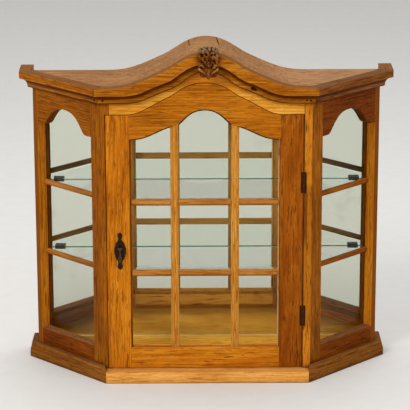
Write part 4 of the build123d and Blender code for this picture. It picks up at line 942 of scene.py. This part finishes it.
# %% [markdown]
# ## Stage, light and camera
# The case stands on a broad sheet of pale paper, which isn't part of the object. A faint
# fleck keeps it from looking like flat colour.
# %% the floor
FLOOR_HALF = 12.0
PAPER, PAPER_FLECK = screen(222, 221, 219), screen(229, 228, 226)
floor_data = bpy.data.meshes.new("studio_floor")
bm = bmesh.new()
bmesh.ops.create_grid(bm, x_segments=1, y_segments=1, size=FLOOR_HALF)
bm.to_mesh(floor_data)
bm.free()
studio_floor = bpy.data.objects.new("studio_floor", floor_data)
bpy.context.scene.collection.objects.link(studio_floor)
paper, r, shader = blank("studio_paper")
r.feed(shader.inputs["Base Color"], r.mix(r.noise(r.here(), 30.0, 3.0), PAPER, PAPER_FLECK))
shader.inputs["Roughness"].default_value = 0.9
floor_data.materials.append(paper)
print("floor laid")

# %% [markdown]
# Round the stage lies an even pale surround. Its light is a little weaker than it looks:
# the camera, glossy surfaces and glass see a paler backdrop than the one that lights.
# %% the surround
SURROUND_WARMTH, SURROUND_STRENGTH = (1.0, 0.99, 0.97, 1.0), 0.55
BACKDROP = screen(222, 222, 223)      # what the camera and the gloss see
scene = bpy.context.scene
scene.view_settings.view_transform = "Standard"
world = bpy.data.worlds.new("surround")
scene.world = world
world.use_nodes = True
r = Recipe(world.node_tree)
glow = world.node_tree.nodes["Background"]
glow.inputs["Color"].default_value = SURROUND_WARMTH
glow.inputs["Strength"].default_value = SURROUND_STRENGTH
seen = r.add("ShaderNodeBackground")
seen.inputs["Color"].default_value = BACKDROP
path = r.add("ShaderNodeLightPath").outputs
direct = r.math("MAXIMUM", path["Is Camera Ray"],
                r.math("MAXIMUM", path["Is Glossy Ray"], path["Is Transmission Ray"]))
surround = r.either(direct, glow.outputs[0], seen.outputs[0])
r.feed(world.node_tree.nodes["World Output"].inputs["Surface"], surround)
print("surround set")

# %% [markdown]
# One broad soft lamp stands high on the left of the front, a weaker one on the right and
# one above, so that mouldings read without glare. A small unseen lamp inside, before the
# mirror, stands for the light that the mirror throws back. Light linking keeps it to the
# pieces round the glass, so it can't spill outside.
# %% the lamps
LAMPS = {                 # place, what it points at, size, power, warmth
    "key": ((-2.2, -2.6, 3.0), (0, 0, 0.35), 1.8, 92.0, (1.0, 0.97, 0.93)),
    "fill": ((2.6, -2.4, 1.7), (0, 0, 0.3), 2.2, 26.0, (0.96, 0.98, 1.0)),
    "top": ((0.2, 0.7, 3.0), (0, 0, 0.5), 2.0, 32.0, (1.0, 1.0, 1.0)),
    "mirror_return": ((0, 0.050, 0.27), (0, -0.150, 0.20), 0.36, 0.50, (1.0, 0.95, 0.86)),
}
RETURN_HEIGHT = 0.28
for name, (place, target, size, power, warmth) in LAMPS.items():
    data = bpy.data.lights.new(name, "AREA")
    data.shape = "SQUARE"
    data.size = size
    data.energy = power
    data.color = warmth
    lamp = bpy.data.objects.new(name, data)
    scene.collection.objects.link(lamp)
    lamp.location = place
    lamp.rotation_euler = (Vector(target) - Vector(place)).to_track_quat("-Z", "Y").to_euler()
returned = bpy.data.objects["mirror_return"]
returned.data.shape = "RECTANGLE"
returned.data.size_y = RETURN_HEIGHT
returned.visible_camera = returned.visible_glossy = returned.visible_transmission = False
insides = bpy.data.collections.new("lit_by_mirror")
for node in BESIDE_GLASS + ("post_back_left", "post_back_right"):
    if node != "back_panel":
        insides.objects.link(NODES[node])
returned.light_linking.receiver_collection = insides
print("lamps:", len(LAMPS))

# %% [markdown]
# The camera looks slightly down on the case from nearly four metres away with a long lens,
# so the uprights lean in only a little towards the base.
# %% the camera
EYE = Vector((-0.02569, -3.9247 + FRONT_Y, 1.50422))
PITCH, YAW, ROLL = math.radians(16.45), math.radians(0.32), math.radians(-0.14)
FOCAL_PIXELS, FRAME_PIXELS, SENSOR = 2193.47, 410.0, 36.0
ahead = Vector((math.sin(YAW) * math.cos(PITCH), math.cos(YAW) * math.cos(PITCH), -math.sin(PITCH)))
side = ahead.cross(Vector((0, 0, 1))).normalized()
over = side.cross(ahead)
camera_data = bpy.data.cameras.new("camera")
camera_data.sensor_width = SENSOR
camera_data.lens = SENSOR * FOCAL_PIXELS / FRAME_PIXELS
camera_data.clip_end = 60.0
camera = bpy.data.objects.new("camera", camera_data)
scene.collection.objects.link(camera)
basis = Matrix((side, over, -ahead)).transposed().to_4x4()
camera.matrix_world = Matrix.Translation(EYE) @ basis @ Matrix.Rotation(ROLL, 4, "Z")
scene.camera = camera
print("lens:", round(camera_data.lens, 1), "mm")
